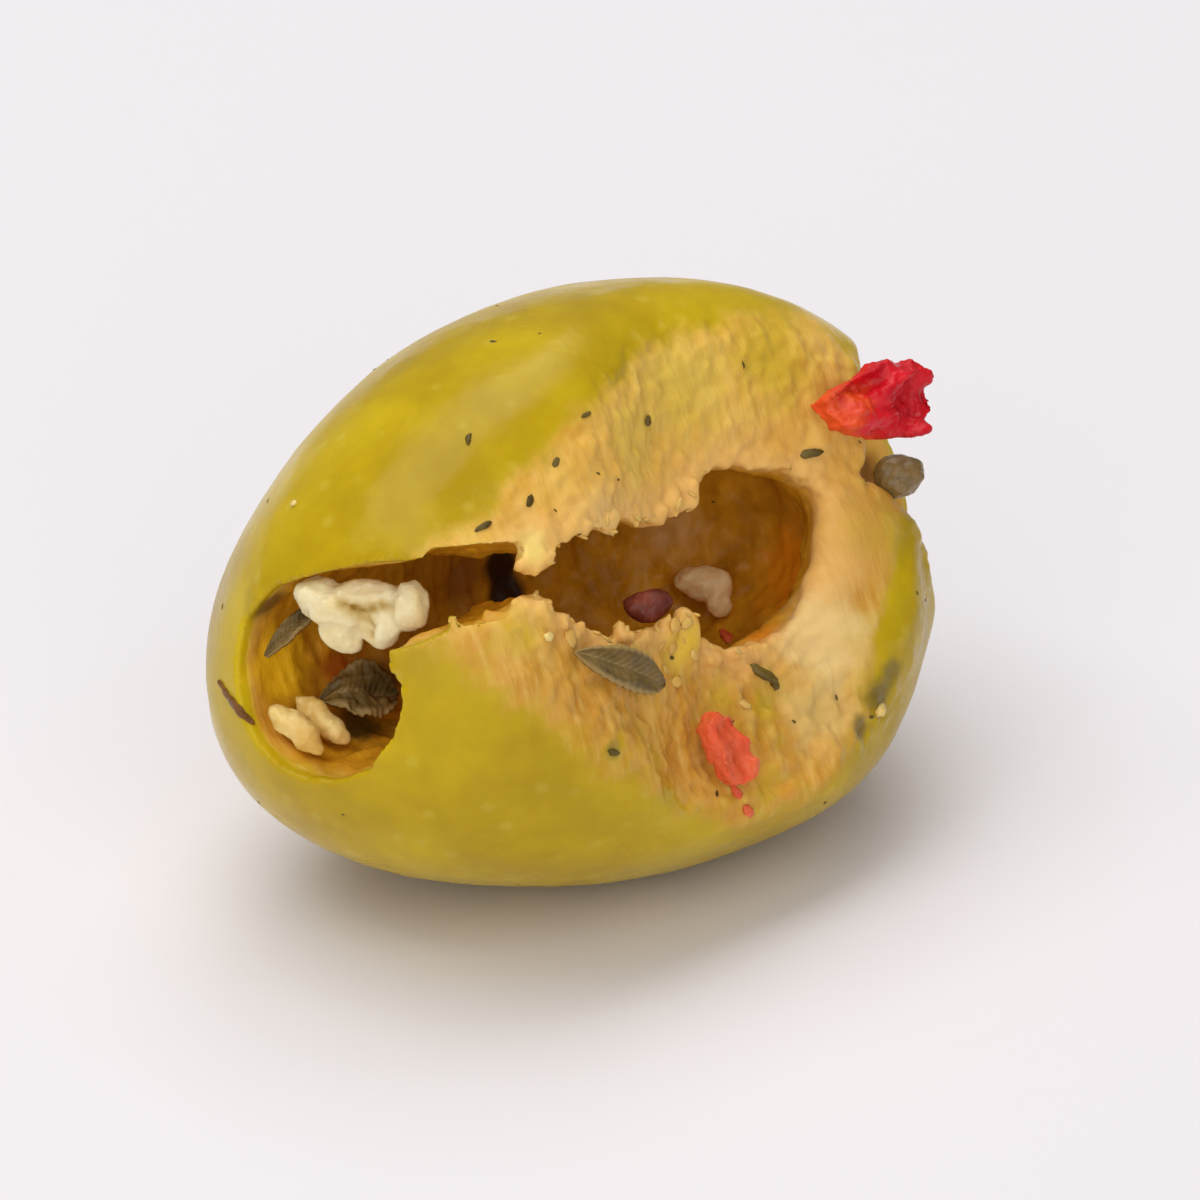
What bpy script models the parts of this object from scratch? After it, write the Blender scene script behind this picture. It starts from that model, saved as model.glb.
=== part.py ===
"""A marinated green olive, pitted and torn open, with the garlic, pepper and herbs that cling to it.

The fruit lies on its side on a small flat spot, and the middle of that spot is the origin. Its long axis
runs along X, with the pit hole at the -X end. The torn face looks along -Y and a little up. Places on that
face are given as (along, across, out): along the fruit, up across the face, and out from the fruit's middle.
"""

import math
import random

import bmesh
import bpy
from mathutils import Matrix, Vector, noise

MM = 0.001
SHARP_EDGE = math.radians(50)

# Fruit
FRUIT_LENGTH = 30.0 * MM
FRUIT_WIDTH = 22.0 * MM
FRUIT_FULLNESS = 2.1
TIP_HEIGHT = 0.35 * MM
TIP_SHARPNESS = 40
REST_DEPTH = 0.45 * MM
FRUIT_DETAIL = 5
HALF_LENGTH = FRUIT_LENGTH / 2
HALF_WIDTH = FRUIT_WIDTH / 2
MIDDLE = Vector((0, 0, HALF_WIDTH - REST_DEPTH))
SWELLINGS = [
    ((-14.2, 2.3, -4.5), 0.75 * MM, 5.5 * MM),
    ((-9.8, 7.0, 5.0), -0.7 * MM, 6.0 * MM),
    ((-6.8, -3.5, -9.2), -0.35 * MM, 5.0 * MM),
    ((7.5, -7.5, -7.1), 0.55 * MM, 5.0 * MM),
    ((12.2, -5.9, -2.0), -0.6 * MM, 4.5 * MM),
]

# Torn face
CUT_TURN = math.radians(5)
CUT_TILT = math.radians(27)
FACE_LENGTH = FRUIT_LENGTH * 1.1
FACE_WIDTH = FRUIT_WIDTH * 1.2
FACE_HEIGHT = 5.4 * MM
FACE_DISH = 7.0
LIP_RISE = 2.4 * MM
LIP_START = 0.5 * MM
LIP_END = -6.0 * MM
LIP_SLANT = 0.2
LUMP_HEIGHT = 0.32 * MM
LUMP_SIZE = 2.2 * MM
FACE_CELL = 0.8 * MM
CLEAR_OF_FRUIT = 14.0 * MM

# Pit hollow and its mouth
MOUTH_OUTLINE = [
    (-8.2, 1.8), (-7.9, 2.9), (-6.4, 2.6), (-3.7, 2.7), (-0.2, 2.1), (1.6, 2.7), (2.9, 3.1), (4.9, 2.8),
    (6.9, 1.8), (7.5, 0.2), (6.9, -1.4), (5.2, -2.8), (2.8, -3.6), (1.2, -3.3), (-0.4, -2.3), (-2.2, -1.5),
    (-4.2, -1.3), (-5.8, -0.7), (-7.0, 0.3),
]
MOUTH_POINTS = 60
MOUTH_RAG = 0.16 * MM
MOUTH_START_ANGLE = math.radians(172)
PIT_HALF_LENGTH = 9.6 * MM
PIT_HALF_WIDTH = 5.2 * MM
PIT_OUT = 0.4 * MM
THROAT_TOP = 4.8 * MM
THROAT_BOTTOM = 1.2 * MM
THROAT_STEPS = 4
PIT_TURNS = (0, 16, 32, 48, 64, 78)
PIT_ROUGHNESS = 0.3 * MM

# Pit hole at the stem end, and the slit that joins it to the mouth
HOLE_RADIUS = 4.1 * MM
HOLE_SWELL = 0.4 * MM
HOLE_TAPER = 0.22
HOLE_START = Vector((-18.0, -3.9, 1.4)) * MM
HOLE_END = Vector((-5.5, 0.0, 0.3)) * MM
HOLE_POINTS = 36
HOLE_RINGS = 7
SLIT_OUTLINE = [
    (-14.0, 3.9), (-12.3, 3.8), (-11.3, 3.5), (-10.9, 3.8), (-9.0, 3.5), (-7.2, 2.9),
    (-6.8, 1.4), (-8.2, 1.1), (-9.7, 0.7), (-11.3, 0.9), (-12.3, 0.6), (-14.0, 0.7),
]
SLIT_LEVELS = [(CLEAR_OF_FRUIT, 0.0), (2.2 * MM, 0.0)]

# Notch torn in the rim at the far end
NOTCH_OUTLINE = [
    (8.8, 1.0), (9.7, 1.8), (10.2, 3.6), (11.0, 5.4), (15.0, 8.0), (18.0, 3.0), (18.0, -5.5), (11.9, -4.4),
    (11.3, -2.6), (10.9, -1.2), (10.3, -0.4),
]
NOTCH_LEVELS = [(CLEAR_OF_FRUIT, 0.0), (6.2 * MM, 0.0), (2.6 * MM, 0.9 * MM), (0.4 * MM, 2.6 * MM)]

# Marinade pieces
TOWARDS_LIGHT = (-0.5, -0.7, 0.5)
SLIVER_TURN = ((0.35, -0.75, -0.5), (-0.5, -0.7, 0.5))
LEAF_THICKNESS = 0.6 * MM
LEAF_TIP = 0.16
LEAF_FULLNESS = 0.8
FLAKE_THICKNESS = 0.8 * MM
FLAKE_UNEVENNESS = 0.22
FLAKE_GRAIN = 1.8
CORNER_ROUNDING = 0.2
LUMP_DETAIL = 3
SHEET_ROWS = 10
SHEET_COLUMNS = 8


def clear_scene():
    """Removes every object, so that the file holds the olive alone."""
    for item in list(bpy.data.objects):
        bpy.data.objects.remove(item, do_unlink=True)


def make_material(name, colour, roughness):
    """A plain finish: linear base colour and roughness, with no metal in it."""
    material = bpy.data.materials.new(name)
    material.use_nodes = True
    shader = material.node_tree.nodes["Principled BSDF"]
    shader.inputs["Base Color"].default_value = (*colour, 1.0)
    shader.inputs["Roughness"].default_value = roughness
    shader.inputs["Metallic"].default_value = 0.0
    return material


def make_object(name, shape, material=None):
    """Turns a finished bmesh into an object with smooth faces that point outwards."""
    bmesh.ops.recalc_face_normals(shape, faces=shape.faces)
    mesh = bpy.data.meshes.new(name)
    shape.to_mesh(mesh)
    shape.free()
    mesh.shade_smooth()
    mesh.set_sharp_from_angle(angle=SHARP_EDGE)
    if material:
        mesh.materials.append(material)
    item = bpy.data.objects.new(name, mesh)
    bpy.context.scene.collection.objects.link(item)
    return item


def smooth_step(start, end, value):
    """Rises from 0 at start to 1 at end with no corner."""
    share = min(max((value - start) / (end - start), 0.0), 1.0)
    return share * share * (3 - 2 * share)


def bell(point, middle, width):
    """Falls smoothly from 1 at a middle, given in millimetres, to about a third at one width from it."""
    return math.exp(-((point - Vector(middle) * MM).length / width) ** 2)


def cut_frame():
    """The frame of the torn face: columns along, across and out, from the fruit's middle."""
    out = Vector((
        math.sin(CUT_TURN),
        -math.cos(CUT_TURN) * math.cos(CUT_TILT),
        math.cos(CUT_TURN) * math.sin(CUT_TILT),
    ))
    across = out.cross(Vector((1, 0, 0))).normalized()
    if across.z < 0:
        across.negate()
    along = across.cross(out)
    turn = Matrix((along, across, out)).transposed()
    return Matrix.Translation(MIDDLE) @ turn.to_4x4()


def face_height(along, across):
    """How far out the torn face lies: a shallow dish that rises to the lips of the slit, with soft lumps."""
    dish = FACE_DISH * across ** 2
    lip = LIP_RISE * smooth_step(LIP_START, LIP_END, along - LIP_SLANT * across)
    lump = LUMP_HEIGHT * noise.noise(Vector((along, across, 0)) / LUMP_SIZE)
    return FACE_HEIGHT + dish + lip + lump


def skin_point(direction):
    """Where a ray from the middle leaves the uncut skin: a plump, uneven spindle with a tip at +X."""
    along = abs(direction.x) / HALF_LENGTH
    around = math.hypot(direction.y, direction.z) / HALF_WIDTH
    reach = (along ** FRUIT_FULLNESS + around ** FRUIT_FULLNESS) ** (-1 / FRUIT_FULLNESS)
    point = direction * (reach + TIP_HEIGHT * max(0.0, direction.x) ** TIP_SHARPNESS)
    swell = sum(height * bell(point, middle, width) for middle, height, width in SWELLINGS)
    return point + direction * swell


def smooth_outline(corners, count):
    """Closed smooth curve through corners given in millimetres, as count points in metres."""
    points = []
    for index in range(count):
        place = index / count * len(corners)
        start = int(place)
        share = place - start
        before, here, there, after = (
            Vector(corners[(start + step) % len(corners)]) * MM for step in (-1, 0, 1, 2)
        )
        bend = 2 * before - 5 * here + 4 * there - after
        turn = 3 * here - before - 3 * there + after
        points.append(here + 0.5 * ((there - before) * share + bend * share ** 2 + turn * share ** 3))
    return points


def ragged(points, amount, seed):
    """The same outline with each point moved a little, as torn flesh is."""
    draw = random.Random(seed)
    moves = [(draw.uniform(-amount, amount), draw.uniform(-amount, amount)) for _ in points]
    return [point + Vector(move) for point, move in zip(points, moves)]


def loft(rings):
    """A closed body through rings of equally many points, with its two ends closed round a middle point."""
    shape = bmesh.new()
    rows = [[shape.verts.new(point) for point in ring] for ring in rings]
    count = len(rows[0])
    for lower, upper in zip(rows, rows[1:]):
        for index in range(count):
            following = (index + 1) % count
            shape.faces.new((lower[index], lower[following], upper[following], upper[index]))
    for row in (rows[0], rows[-1]):
        middle = sum((vertex.co for vertex in row), Vector()) / count
        hub = shape.verts.new(middle)
        for index in range(count):
            shape.faces.new((row[index], row[(index + 1) % count], hub))
    return shape


def cut_away(body, name, shape, frame=None):
    """Takes a shape out of the body, and keeps the cutter as an unrendered wire."""
    cutter = make_object(name, shape)
    if frame:
        cutter.matrix_world = frame
    cutter.display_type = "WIRE"
    cutter.hide_render = True
    modifier = body.modifiers.new(name, "BOOLEAN")
    modifier.operation = "DIFFERENCE"
    modifier.solver = "EXACT"
    modifier.object = cutter


def whole_fruit():
    """The fruit before it is cut, from evenly spread points pushed out to the skin."""
    shape = bmesh.new()
    bmesh.ops.create_icosphere(shape, subdivisions=FRUIT_DETAIL, radius=1.0)
    for vertex in shape.verts:
        vertex.co = MIDDLE + skin_point(vertex.co.normalized())
    return shape


def face_cutter():
    """All that lies outside the torn face."""
    shape = bmesh.new()
    bmesh.ops.create_grid(
        shape,
        x_segments=round(FACE_LENGTH / FACE_CELL),
        y_segments=round(FACE_WIDTH / FACE_CELL),
        size=0.5,
        matrix=Matrix.Diagonal((FACE_LENGTH, FACE_WIDTH, 1, 1)),
    )
    for vertex in shape.verts:
        vertex.co.z = face_height(vertex.co.x, vertex.co.y)
    raised = bmesh.ops.extrude_face_region(shape, geom=shape.faces[:])["geom"]
    for item in raised:
        if isinstance(item, bmesh.types.BMVert):
            item.co.z = CLEAR_OF_FRUIT
    return shape


def pit_ring(outline, out):
    """One level of the pit hollow, between the mouth's outline and the round of the hollow."""
    blend = smooth_step(THROAT_TOP, THROAT_BOTTOM, out)
    depth = (out - PIT_OUT) / PIT_HALF_WIDTH
    round_share = math.sqrt(max(1 - depth ** 2, 0.0)) if out < THROAT_TOP else 0.0
    ring = []
    for index, point in enumerate(outline):
        angle = MOUTH_START_ANGLE - index / len(outline) * math.tau
        way = Vector((math.cos(angle), math.sin(angle)))
        wall = Vector((PIT_HALF_LENGTH * way.x, PIT_HALF_WIDTH * way.y)) * round_share
        place = point.lerp(wall, blend)
        rough = PIT_ROUGHNESS * blend * noise.noise(Vector((*place, out)) / LUMP_SIZE)
        ring.append(Vector((*(place + way * rough), out)))
    return ring


def pit_cutter():
    """The hollow that the pit left, with its torn mouth in the face."""
    outline = ragged(smooth_outline(MOUTH_OUTLINE, MOUTH_POINTS), MOUTH_RAG, seed=4)
    levels = [CLEAR_OF_FRUIT, (CLEAR_OF_FRUIT + THROAT_TOP) / 2]
    throat_step = (THROAT_TOP - THROAT_BOTTOM) / THROAT_STEPS
    levels += [THROAT_TOP - throat_step * step for step in range(THROAT_STEPS + 1)]
    levels += [PIT_OUT - PIT_HALF_WIDTH * math.sin(math.radians(turn)) for turn in PIT_TURNS]
    return loft([pit_ring(outline, out) for out in levels])


def hole_cutter():
    """The ragged hole at the stem end, a little wider at its top, that runs in to the hollow."""
    draw = random.Random(11)
    edge = [draw.uniform(-1, 1) * MOUTH_RAG for _ in range(HOLE_POINTS)]
    rings = []
    for step in range(HOLE_RINGS):
        share = step / (HOLE_RINGS - 1)
        middle = MIDDLE + HOLE_START.lerp(HOLE_END, share)
        ring = []
        for index in range(HOLE_POINTS):
            angle = index / HOLE_POINTS * math.tau
            radius = (HOLE_RADIUS + HOLE_SWELL * math.sin(angle)) * (1 - HOLE_TAPER * share) + edge[index]
            ring.append(middle + Vector((0, math.cos(angle), math.sin(angle))) * radius)
        rings.append(ring)
    return loft(rings)


def prism(corners, levels):
    """An upright block over an outline of the face, moved along the fruit by each level's own amount."""
    rings = []
    for out, shift in levels:
        rings.append([Vector((along * MM + shift, across * MM, out)) for along, across in corners])
    return loft(rings)


def rest_cutter():
    """Everything below the surface that the olive lies on, which leaves its flat spot."""
    shape = bmesh.new()
    bmesh.ops.create_cube(shape, size=1.0)
    bmesh.ops.scale(shape, verts=shape.verts, vec=(FRUIT_LENGTH * 1.2, FRUIT_WIDTH * 1.2, HALF_WIDTH))
    bmesh.ops.translate(shape, verts=shape.verts, vec=(0, 0, -HALF_WIDTH / 2))
    return shape


def build_olive(frame, material):
    """The olive: one fruit, with its face, hollow, hole, slit, notch and flat spot cut in it."""
    olive = make_object("olive", whole_fruit(), material)
    cut_away(olive, "cutter_face", face_cutter(), frame)
    cut_away(olive, "cutter_pit", pit_cutter(), frame)
    cut_away(olive, "cutter_hole", hole_cutter())
    cut_away(olive, "cutter_slit", prism(SLIT_OUTLINE, SLIT_LEVELS), frame)
    cut_away(olive, "cutter_notch", prism(NOTCH_OUTLINE, NOTCH_LEVELS), frame)
    cut_away(olive, "cutter_rest", rest_cutter())
    return olive


def lumpy(size, roughness, grain, seed, dents=()):
    """A rounded lump of the given half sizes, uneven by roughness, with dents of (place, depth, width)."""
    shape = bmesh.new()
    bmesh.ops.create_icosphere(shape, subdivisions=LUMP_DETAIL, radius=1.0)
    shift = Vector((seed * 7.3, seed * 3.1, seed * 5.7))
    for vertex in shape.verts:
        way = vertex.co.normalized()
        place = Vector((way.x * size[0], way.y * size[1], way.z * size[2]))
        bump = roughness * noise.noise(place / grain + shift)
        for middle, depth, width in dents:
            bump -= depth * bell(place, middle, width)
        vertex.co = place + way * bump
    return shape


def sheet(surface, thickness):
    """A closed blade round surface(s, t), both from -1 to 1, with the same split on both of its sides."""
    shape = bmesh.new()
    sides = []
    for side in (1, -1):
        rows = []
        for row in range(SHEET_ROWS + 1):
            s = row / SHEET_ROWS * 2 - 1
            line = []
            for column in range(SHEET_COLUMNS + 1):
                t = column / SHEET_COLUMNS * 2 - 1
                place = surface(s, t)
                line.append(shape.verts.new(place + Vector((0, 0, side * thickness / 2))))
            rows.append(line)
        sides.append(rows)
    for rows in sides:
        for row in range(SHEET_ROWS):
            for column in range(SHEET_COLUMNS):
                a, b = rows[row][column], rows[row][column + 1]
                c, d = rows[row + 1][column + 1], rows[row + 1][column]
                shape.faces.new((a, b, c))
                shape.faces.new((a, c, d))
    upper, lower = (sheet_edge(rows) for rows in sides)
    for index in range(len(upper)):
        following = (index + 1) % len(upper)
        shape.faces.new((upper[index], upper[following], lower[following], lower[index]))
    return shape


def sheet_edge(rows):
    """The points round the rim of a sheet's side, in order."""
    first = rows[0][:-1]
    right = [row[-1] for row in rows[:-1]]
    last = list(reversed(rows[-1][1:]))
    left = [row[0] for row in reversed(rows[1:])]
    return first + right + last + left


def leaf_surface(length, width, arch, twist):
    """A pointed leaf whose sides lift from the midrib and whose ends bend down."""
    def surface(s, t):
        half = width / 2 * (LEAF_TIP + (1 - LEAF_TIP) * math.cos(s * math.pi / 2) ** LEAF_FULLNESS)
        lift = arch * (0.5 * abs(t) ** 1.5 - s ** 2)
        turn = twist * s * t
        return Vector((s * length / 2, t * half, lift + turn))
    return surface


def flake_surface(length, width, crumple, taper, seed):
    """A torn scrap with an uneven outline, narrower by taper at its far end, and crumpled."""
    def surface(s, t):
        reach = 1 + FLAKE_UNEVENNESS * noise.noise(Vector((s, t, 0)) * FLAKE_GRAIN + Vector((0, 0, seed)))
        rounding = (1 - CORNER_ROUNDING * (s * t) ** 2) * reach
        half = width / 2 * (1 + taper * (s - 1) / 2)
        place = Vector((s * length / 2, t * half)) * rounding
        lift = crumple * noise.noise(Vector((s, t, 0)) * FLAKE_GRAIN + Vector((0, 0, seed + 0.5)))
        return Vector((*place, lift))
    return surface


def lay_on_face(item, frame, place, turn, lift=0.0):
    """Lays a piece on the face at (along, across) in millimetres, turned by degrees (spin, pitch, roll)."""
    along, across = (value * MM for value in place)
    spin, pitch, roll = (math.radians(value) for value in turn)
    rotation = Matrix.Rotation(spin, 4, "Z") @ Matrix.Rotation(pitch, 4, "Y") @ Matrix.Rotation(roll, 4, "X")
    height = face_height(along, across) + lift * MM
    item.matrix_world = frame @ Matrix.Translation((along, across, height)) @ rotation


def lay_inside(item, place, along, facing):
    """Sets a piece at millimetres from the fruit's middle, its X along one way and its Z facing another."""
    x = Vector(along).normalized()
    y = Vector(facing).cross(x).normalized()
    turn = Matrix((x, y, x.cross(y))).transposed()
    item.matrix_world = Matrix.Translation(MIDDLE + Vector(place) * MM) @ turn.to_4x4()


def millimetres(*values):
    """Sizes in metres from millimetres."""
    return tuple(value * MM for value in values)


def build_garlic(frame, material, glassy):
    """Garlic: a dented lump and two slivers in the pit hole, and bits in the hollow and the notch."""
    dents = [((0.1, -0.2, 1.1), 0.8 * MM, 0.6 * MM), ((-0.4, -1.3, 0.6), 0.7 * MM, 0.5 * MM)]
    lump = lumpy(millimetres(2.25, 1.25, 1.1), 0.4 * MM, 1.4 * MM, 1, dents)
    lump = make_object("garlic_lump", lump, material)
    lay_inside(lump, (-11.8, -2.5, 3.7), (2.8, -3.6, 0.9), TOWARDS_LIGHT)
    sliver = lumpy(millimetres(1.45, 0.45, 0.4), 0.2 * MM, 0.9 * MM, 2)
    lay_inside(make_object("garlic_sliver_front", sliver, material), (-13.9, -1.1, -1.2), *SLIVER_TURN)
    sliver = lumpy(millimetres(1.35, 0.42, 0.4), 0.2 * MM, 0.9 * MM, 3)
    lay_inside(make_object("garlic_sliver_back", sliver, material), (-12.7, -0.9, -1.25), *SLIVER_TURN)
    bit = lumpy(millimetres(0.8, 0.7, 0.6), 0.25 * MM, 0.8 * MM, 4)
    lay_inside(make_object("garlic_bit_hollow", bit, material), (6.2, 1.4, -2.65), (1, -1, 0), TOWARDS_LIGHT)
    bit = lumpy(millimetres(1.0, 0.8, 0.7), 0.2 * MM, 0.8 * MM, 5)
    lay_inside(make_object("garlic_bit_rim", bit, glassy), (11.5, -3.5, 2.6), (1, -0.6, -0.2), TOWARDS_LIGHT)


def build_pepper(frame, material):
    """Red pepper: a large crumpled flake over the notch and a small one on the lower face."""
    shape = sheet(flake_surface(*millimetres(4.8, 3.3, 1.1), taper=0.5, seed=3.0), FLAKE_THICKNESS)
    lay_on_face(make_object("pepper_flake_rim", shape, material), frame, (9.8, 3.8), (-4, 6, 0), 1.35)
    shape = sheet(flake_surface(*millimetres(3.0, 1.7, 0.5), taper=0.2, seed=6.0), FLAKE_THICKNESS)
    lay_on_face(make_object("pepper_flake_face", shape, material), frame, (-0.8, -6.6), (-72, 0, 0), 0.95)


def build_onion(material):
    """Red onion: one small bit on the inner edge of the mouth's lower lip."""
    bit = lumpy(millimetres(0.95, 0.55, 0.5), 0.2 * MM, 0.8 * MM, 6)
    lay_inside(make_object("onion_bit", bit, material), (-1.0, -5.0, 1.65), (1, -0.3, 0.1), TOWARDS_LIGHT)


def build_herbs(frame, material):
    """Herb leaves: one on the lower lip of the mouth and two in the pit hole."""
    shape = sheet(leaf_surface(*millimetres(4.8, 1.9, 0.25, 0.1)), LEAF_THICKNESS)
    lay_on_face(make_object("herb_leaf_lip", shape, material), frame, (-5.3, -2.4), (-29, 12, 0), 0.7)
    shape = sheet(leaf_surface(*millimetres(3.0, 1.3, 0.2, 0.1)), LEAF_THICKNESS)
    leaf = make_object("herb_leaf_hole", shape, material)
    lay_inside(leaf, (-13.1, 0.1, 2.2), (0.78, -0.15, 0.61), (0, -0.9, -0.45))
    shape = sheet(leaf_surface(*millimetres(3.2, 2.2, 0.5, 0.25)), LEAF_THICKNESS)
    leaf = make_object("herb_leaf_floor", shape, material)
    lay_inside(leaf, (-10.7, -0.7, -0.85), (0.95, -0.2, -0.1), (-0.1, -0.54, 0.84))


def main():
    """Builds the olive and what clings to it."""
    clear_scene()
    frame = cut_frame()
    build_olive(frame, make_material("olive_flesh_and_skin", (0.46, 0.35, 0.05), 0.35))
    garlic = make_material("garlic_cream", (0.84, 0.72, 0.42), 0.45)
    glassy = make_material("garlic_glassy", (0.55, 0.52, 0.34), 0.3)
    build_garlic(frame, garlic, glassy)
    build_pepper(frame, make_material("pepper_red", (0.75, 0.05, 0.03), 0.35))
    build_onion(make_material("onion_purple", (0.3, 0.09, 0.12), 0.4))
    build_herbs(frame, make_material("herb_green", (0.13, 0.12, 0.05), 0.6))


main()
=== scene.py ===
"""The looks of a marinated green olive, pitted and torn open, with garlic, pepper, onion and herbs on it.

The CAD solids give every place and size. Shapes are worked out in millimetres from the fruit's middle and
written to their meshes in metres. Places seen in the picture are given on its plane, as millimetres to the
right of the fruit's middle and up from it, and are carried along the line of sight to the surface there.
"""

import logging
import math
from dataclasses import dataclass, fields, replace
from enum import Enum

import bmesh
import bpy
import numpy as np
from mathutils import Matrix, Vector
from mathutils.bvhtree import BVHTree


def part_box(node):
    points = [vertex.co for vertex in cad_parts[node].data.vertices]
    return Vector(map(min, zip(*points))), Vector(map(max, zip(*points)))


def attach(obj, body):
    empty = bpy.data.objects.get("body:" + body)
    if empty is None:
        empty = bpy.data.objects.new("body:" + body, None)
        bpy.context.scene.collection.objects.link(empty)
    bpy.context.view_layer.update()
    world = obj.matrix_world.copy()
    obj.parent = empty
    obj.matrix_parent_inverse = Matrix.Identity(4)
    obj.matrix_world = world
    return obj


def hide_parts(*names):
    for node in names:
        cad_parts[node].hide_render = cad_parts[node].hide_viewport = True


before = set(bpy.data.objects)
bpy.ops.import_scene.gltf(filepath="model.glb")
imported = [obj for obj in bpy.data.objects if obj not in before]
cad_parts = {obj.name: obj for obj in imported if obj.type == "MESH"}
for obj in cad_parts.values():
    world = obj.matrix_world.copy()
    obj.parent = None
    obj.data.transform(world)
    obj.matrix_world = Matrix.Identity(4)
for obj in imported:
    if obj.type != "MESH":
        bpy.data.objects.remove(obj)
LOG = logging.getLogger("olive")

MM = 0.001
BODY = "root"
MIDDLE = Vector((0.0, 0.0, 10.55))
VIEW_AZIMUTH = math.radians(-35)
VIEW_ELEVATION = math.radians(28)
CUT_TURN = math.radians(5)
CUT_TILT = math.radians(27)
MERGE = 1e-7
RELAX = 0.5
HASH_AXES = (73856093, 19349663, 83492791)
HASH_SEED = 2654435
HASH_STIR = 1274126177
HASH_MOST = 0x7FFFFFFF
HASH_STEPS = 0xFFFF
LAYER_SHIFT = 17.3
SIGHT_START = 60.0
LEAST_SLOPE = 0.05
LOBE_DETAIL = 3
LOBE_LUMPS = 1.6
LOBE_SHIFT = 3.7
NODE_GAP = 180
PATCH_GRAIN = 900.0
FINE_SHARE = 0.35

Colour = tuple[float, float, float]
Place = tuple[float, float, float]
Pair = tuple[float, float]
Shades = tuple[Colour, Colour]


class Slot(Enum):
    """The record's material slots."""

    OLIVE = "olive"
    GARLIC = "garlic"
    GLASSY = "garlic_glassy"
    PEPPER = "pepper"
    ONION = "onion"
    HERB = "herb"


def to_viewer() -> Vector:
    """The unit vector from the olive towards the camera."""
    level = math.cos(VIEW_ELEVATION)
    return Vector((
        math.sin(VIEW_AZIMUTH) * level,
        -math.cos(VIEW_AZIMUTH) * level,
        math.sin(VIEW_ELEVATION),
    ))


def picture_axes() -> tuple[Vector, Vector]:
    """The unit vectors to the right and up on the picture's plane."""
    right = Vector((math.cos(VIEW_AZIMUTH), math.sin(VIEW_AZIMUTH), 0.0))
    return right, to_viewer().cross(right)


def picture_way(turn: float) -> Vector:
    """The direction on the picture's plane that is turned by degrees from the right."""
    right, up = picture_axes()
    angle = math.radians(turn)
    return right * math.cos(angle) + up * math.sin(angle)


def picture_places(places: np.ndarray) -> np.ndarray:
    """Each place as millimetres to the right and up on the picture's plane."""
    return places @ np.array(picture_axes()).T


def face_axes() -> Matrix:
    """The torn face's directions as rows: along the fruit, up across the face, and out of it."""
    out = Vector((
        math.sin(CUT_TURN),
        -math.cos(CUT_TURN) * math.cos(CUT_TILT),
        math.cos(CUT_TURN) * math.sin(CUT_TILT),
    ))
    across = out.cross(Vector((1, 0, 0))).normalized()
    across = across if across.z > 0 else -across
    return Matrix((across.cross(out), across, out))


def ease(start: float, end: float, value: np.ndarray) -> np.ndarray:
    """Rises from 0 at start to 1 at end with no corner, for each value."""
    share = np.clip((value - start) / (end - start), 0.0, 1.0)
    return share * share * (3 - 2 * share)


def soft_noise(points: np.ndarray, seed: int = 0) -> np.ndarray:
    """Smooth noise with one lump to each unit of length.

    Args:
        points: places, one to a row.
        seed: which noise is drawn.

    Returns:
        A value from -1 to 1 for each place.
    """
    cell = np.floor(points).astype(np.int64)
    share = points - cell
    share = share * share * (3 - 2 * share)
    total = np.zeros(len(points))
    for corner in range(8):
        step = np.array([corner >> axis & 1 for axis in range(3)])
        key = (cell + step) @ np.array(HASH_AXES) + seed * HASH_SEED
        key = ((key ^ (key >> 13)) * HASH_STIR) & HASH_MOST
        value = ((key ^ (key >> 15)) & HASH_STEPS) / (HASH_STEPS / 2) - 1
        total += np.prod(np.where(step, share, 1 - share), axis=1) * value
    return total


def layered_noise(points: np.ndarray, seed: int = 0, layers: int = 3) -> np.ndarray:
    """Soft noise with finer and weaker layers added to it."""
    total = np.zeros(len(points))
    for layer in range(layers):
        total += soft_noise(points * 2 ** layer + layer * LAYER_SHIFT, seed + layer) / 2 ** layer
    return total


def outline_depth(points: np.ndarray, outline: tuple[Pair, ...]) -> np.ndarray:
    """How far each point of a plane lies inside an outline, below zero outside it.

    Args:
        points: places on the plane, one to a row.
        outline: the corners in order.

    Returns:
        The distance to the outline for each point.
    """
    corners = np.array(outline)
    nearest = np.full(len(points), np.inf)
    inside = np.zeros(len(points), dtype=bool)
    for start, end in zip(corners, np.roll(corners, -1, axis=0)):
        run = end - start
        share = np.clip((points - start) @ run / (run @ run), 0, 1)
        nearest = np.minimum(nearest, np.linalg.norm(points - start - share[:, None] * run, axis=1))
        if run[1]:
            spans = (start[1] > points[:, 1]) != (end[1] > points[:, 1])
            inside ^= spans & (points[:, 0] < start[0] + (points[:, 1] - start[1]) * run[0] / run[1])
    return np.where(inside, nearest, -nearest)


def linked(name: str, data: bpy.types.ID) -> bpy.types.Object:
    """Puts a mesh, a lamp or a camera in the scene as an object at the origin."""
    item = bpy.data.objects.new(name, data)
    bpy.context.scene.collection.objects.link(item)
    return item


def mesh_places(mesh: bpy.types.Mesh) -> np.ndarray:
    """The mesh's points as rows."""
    places = np.empty(len(mesh.vertices) * 3)
    mesh.vertices.foreach_get("co", places)
    return places.reshape(-1, 3)


def mesh_normals(mesh: bpy.types.Mesh) -> np.ndarray:
    """The mesh's point normals as rows."""
    normals = np.empty(len(mesh.vertices) * 3)
    mesh.vertex_normals.foreach_get("vector", normals)
    return normals.reshape(-1, 3)


def triangle_count(mesh: bpy.types.Mesh) -> int:
    """How many triangles the mesh's faces make."""
    return sum(len(face.vertices) - 2 for face in mesh.polygons)


def set_places(mesh: bpy.types.Mesh, places: np.ndarray) -> None:
    """Moves the mesh's points to the rows given."""
    mesh.vertices.foreach_set("co", places.astype(np.float32).ravel())
    mesh.update()


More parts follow.
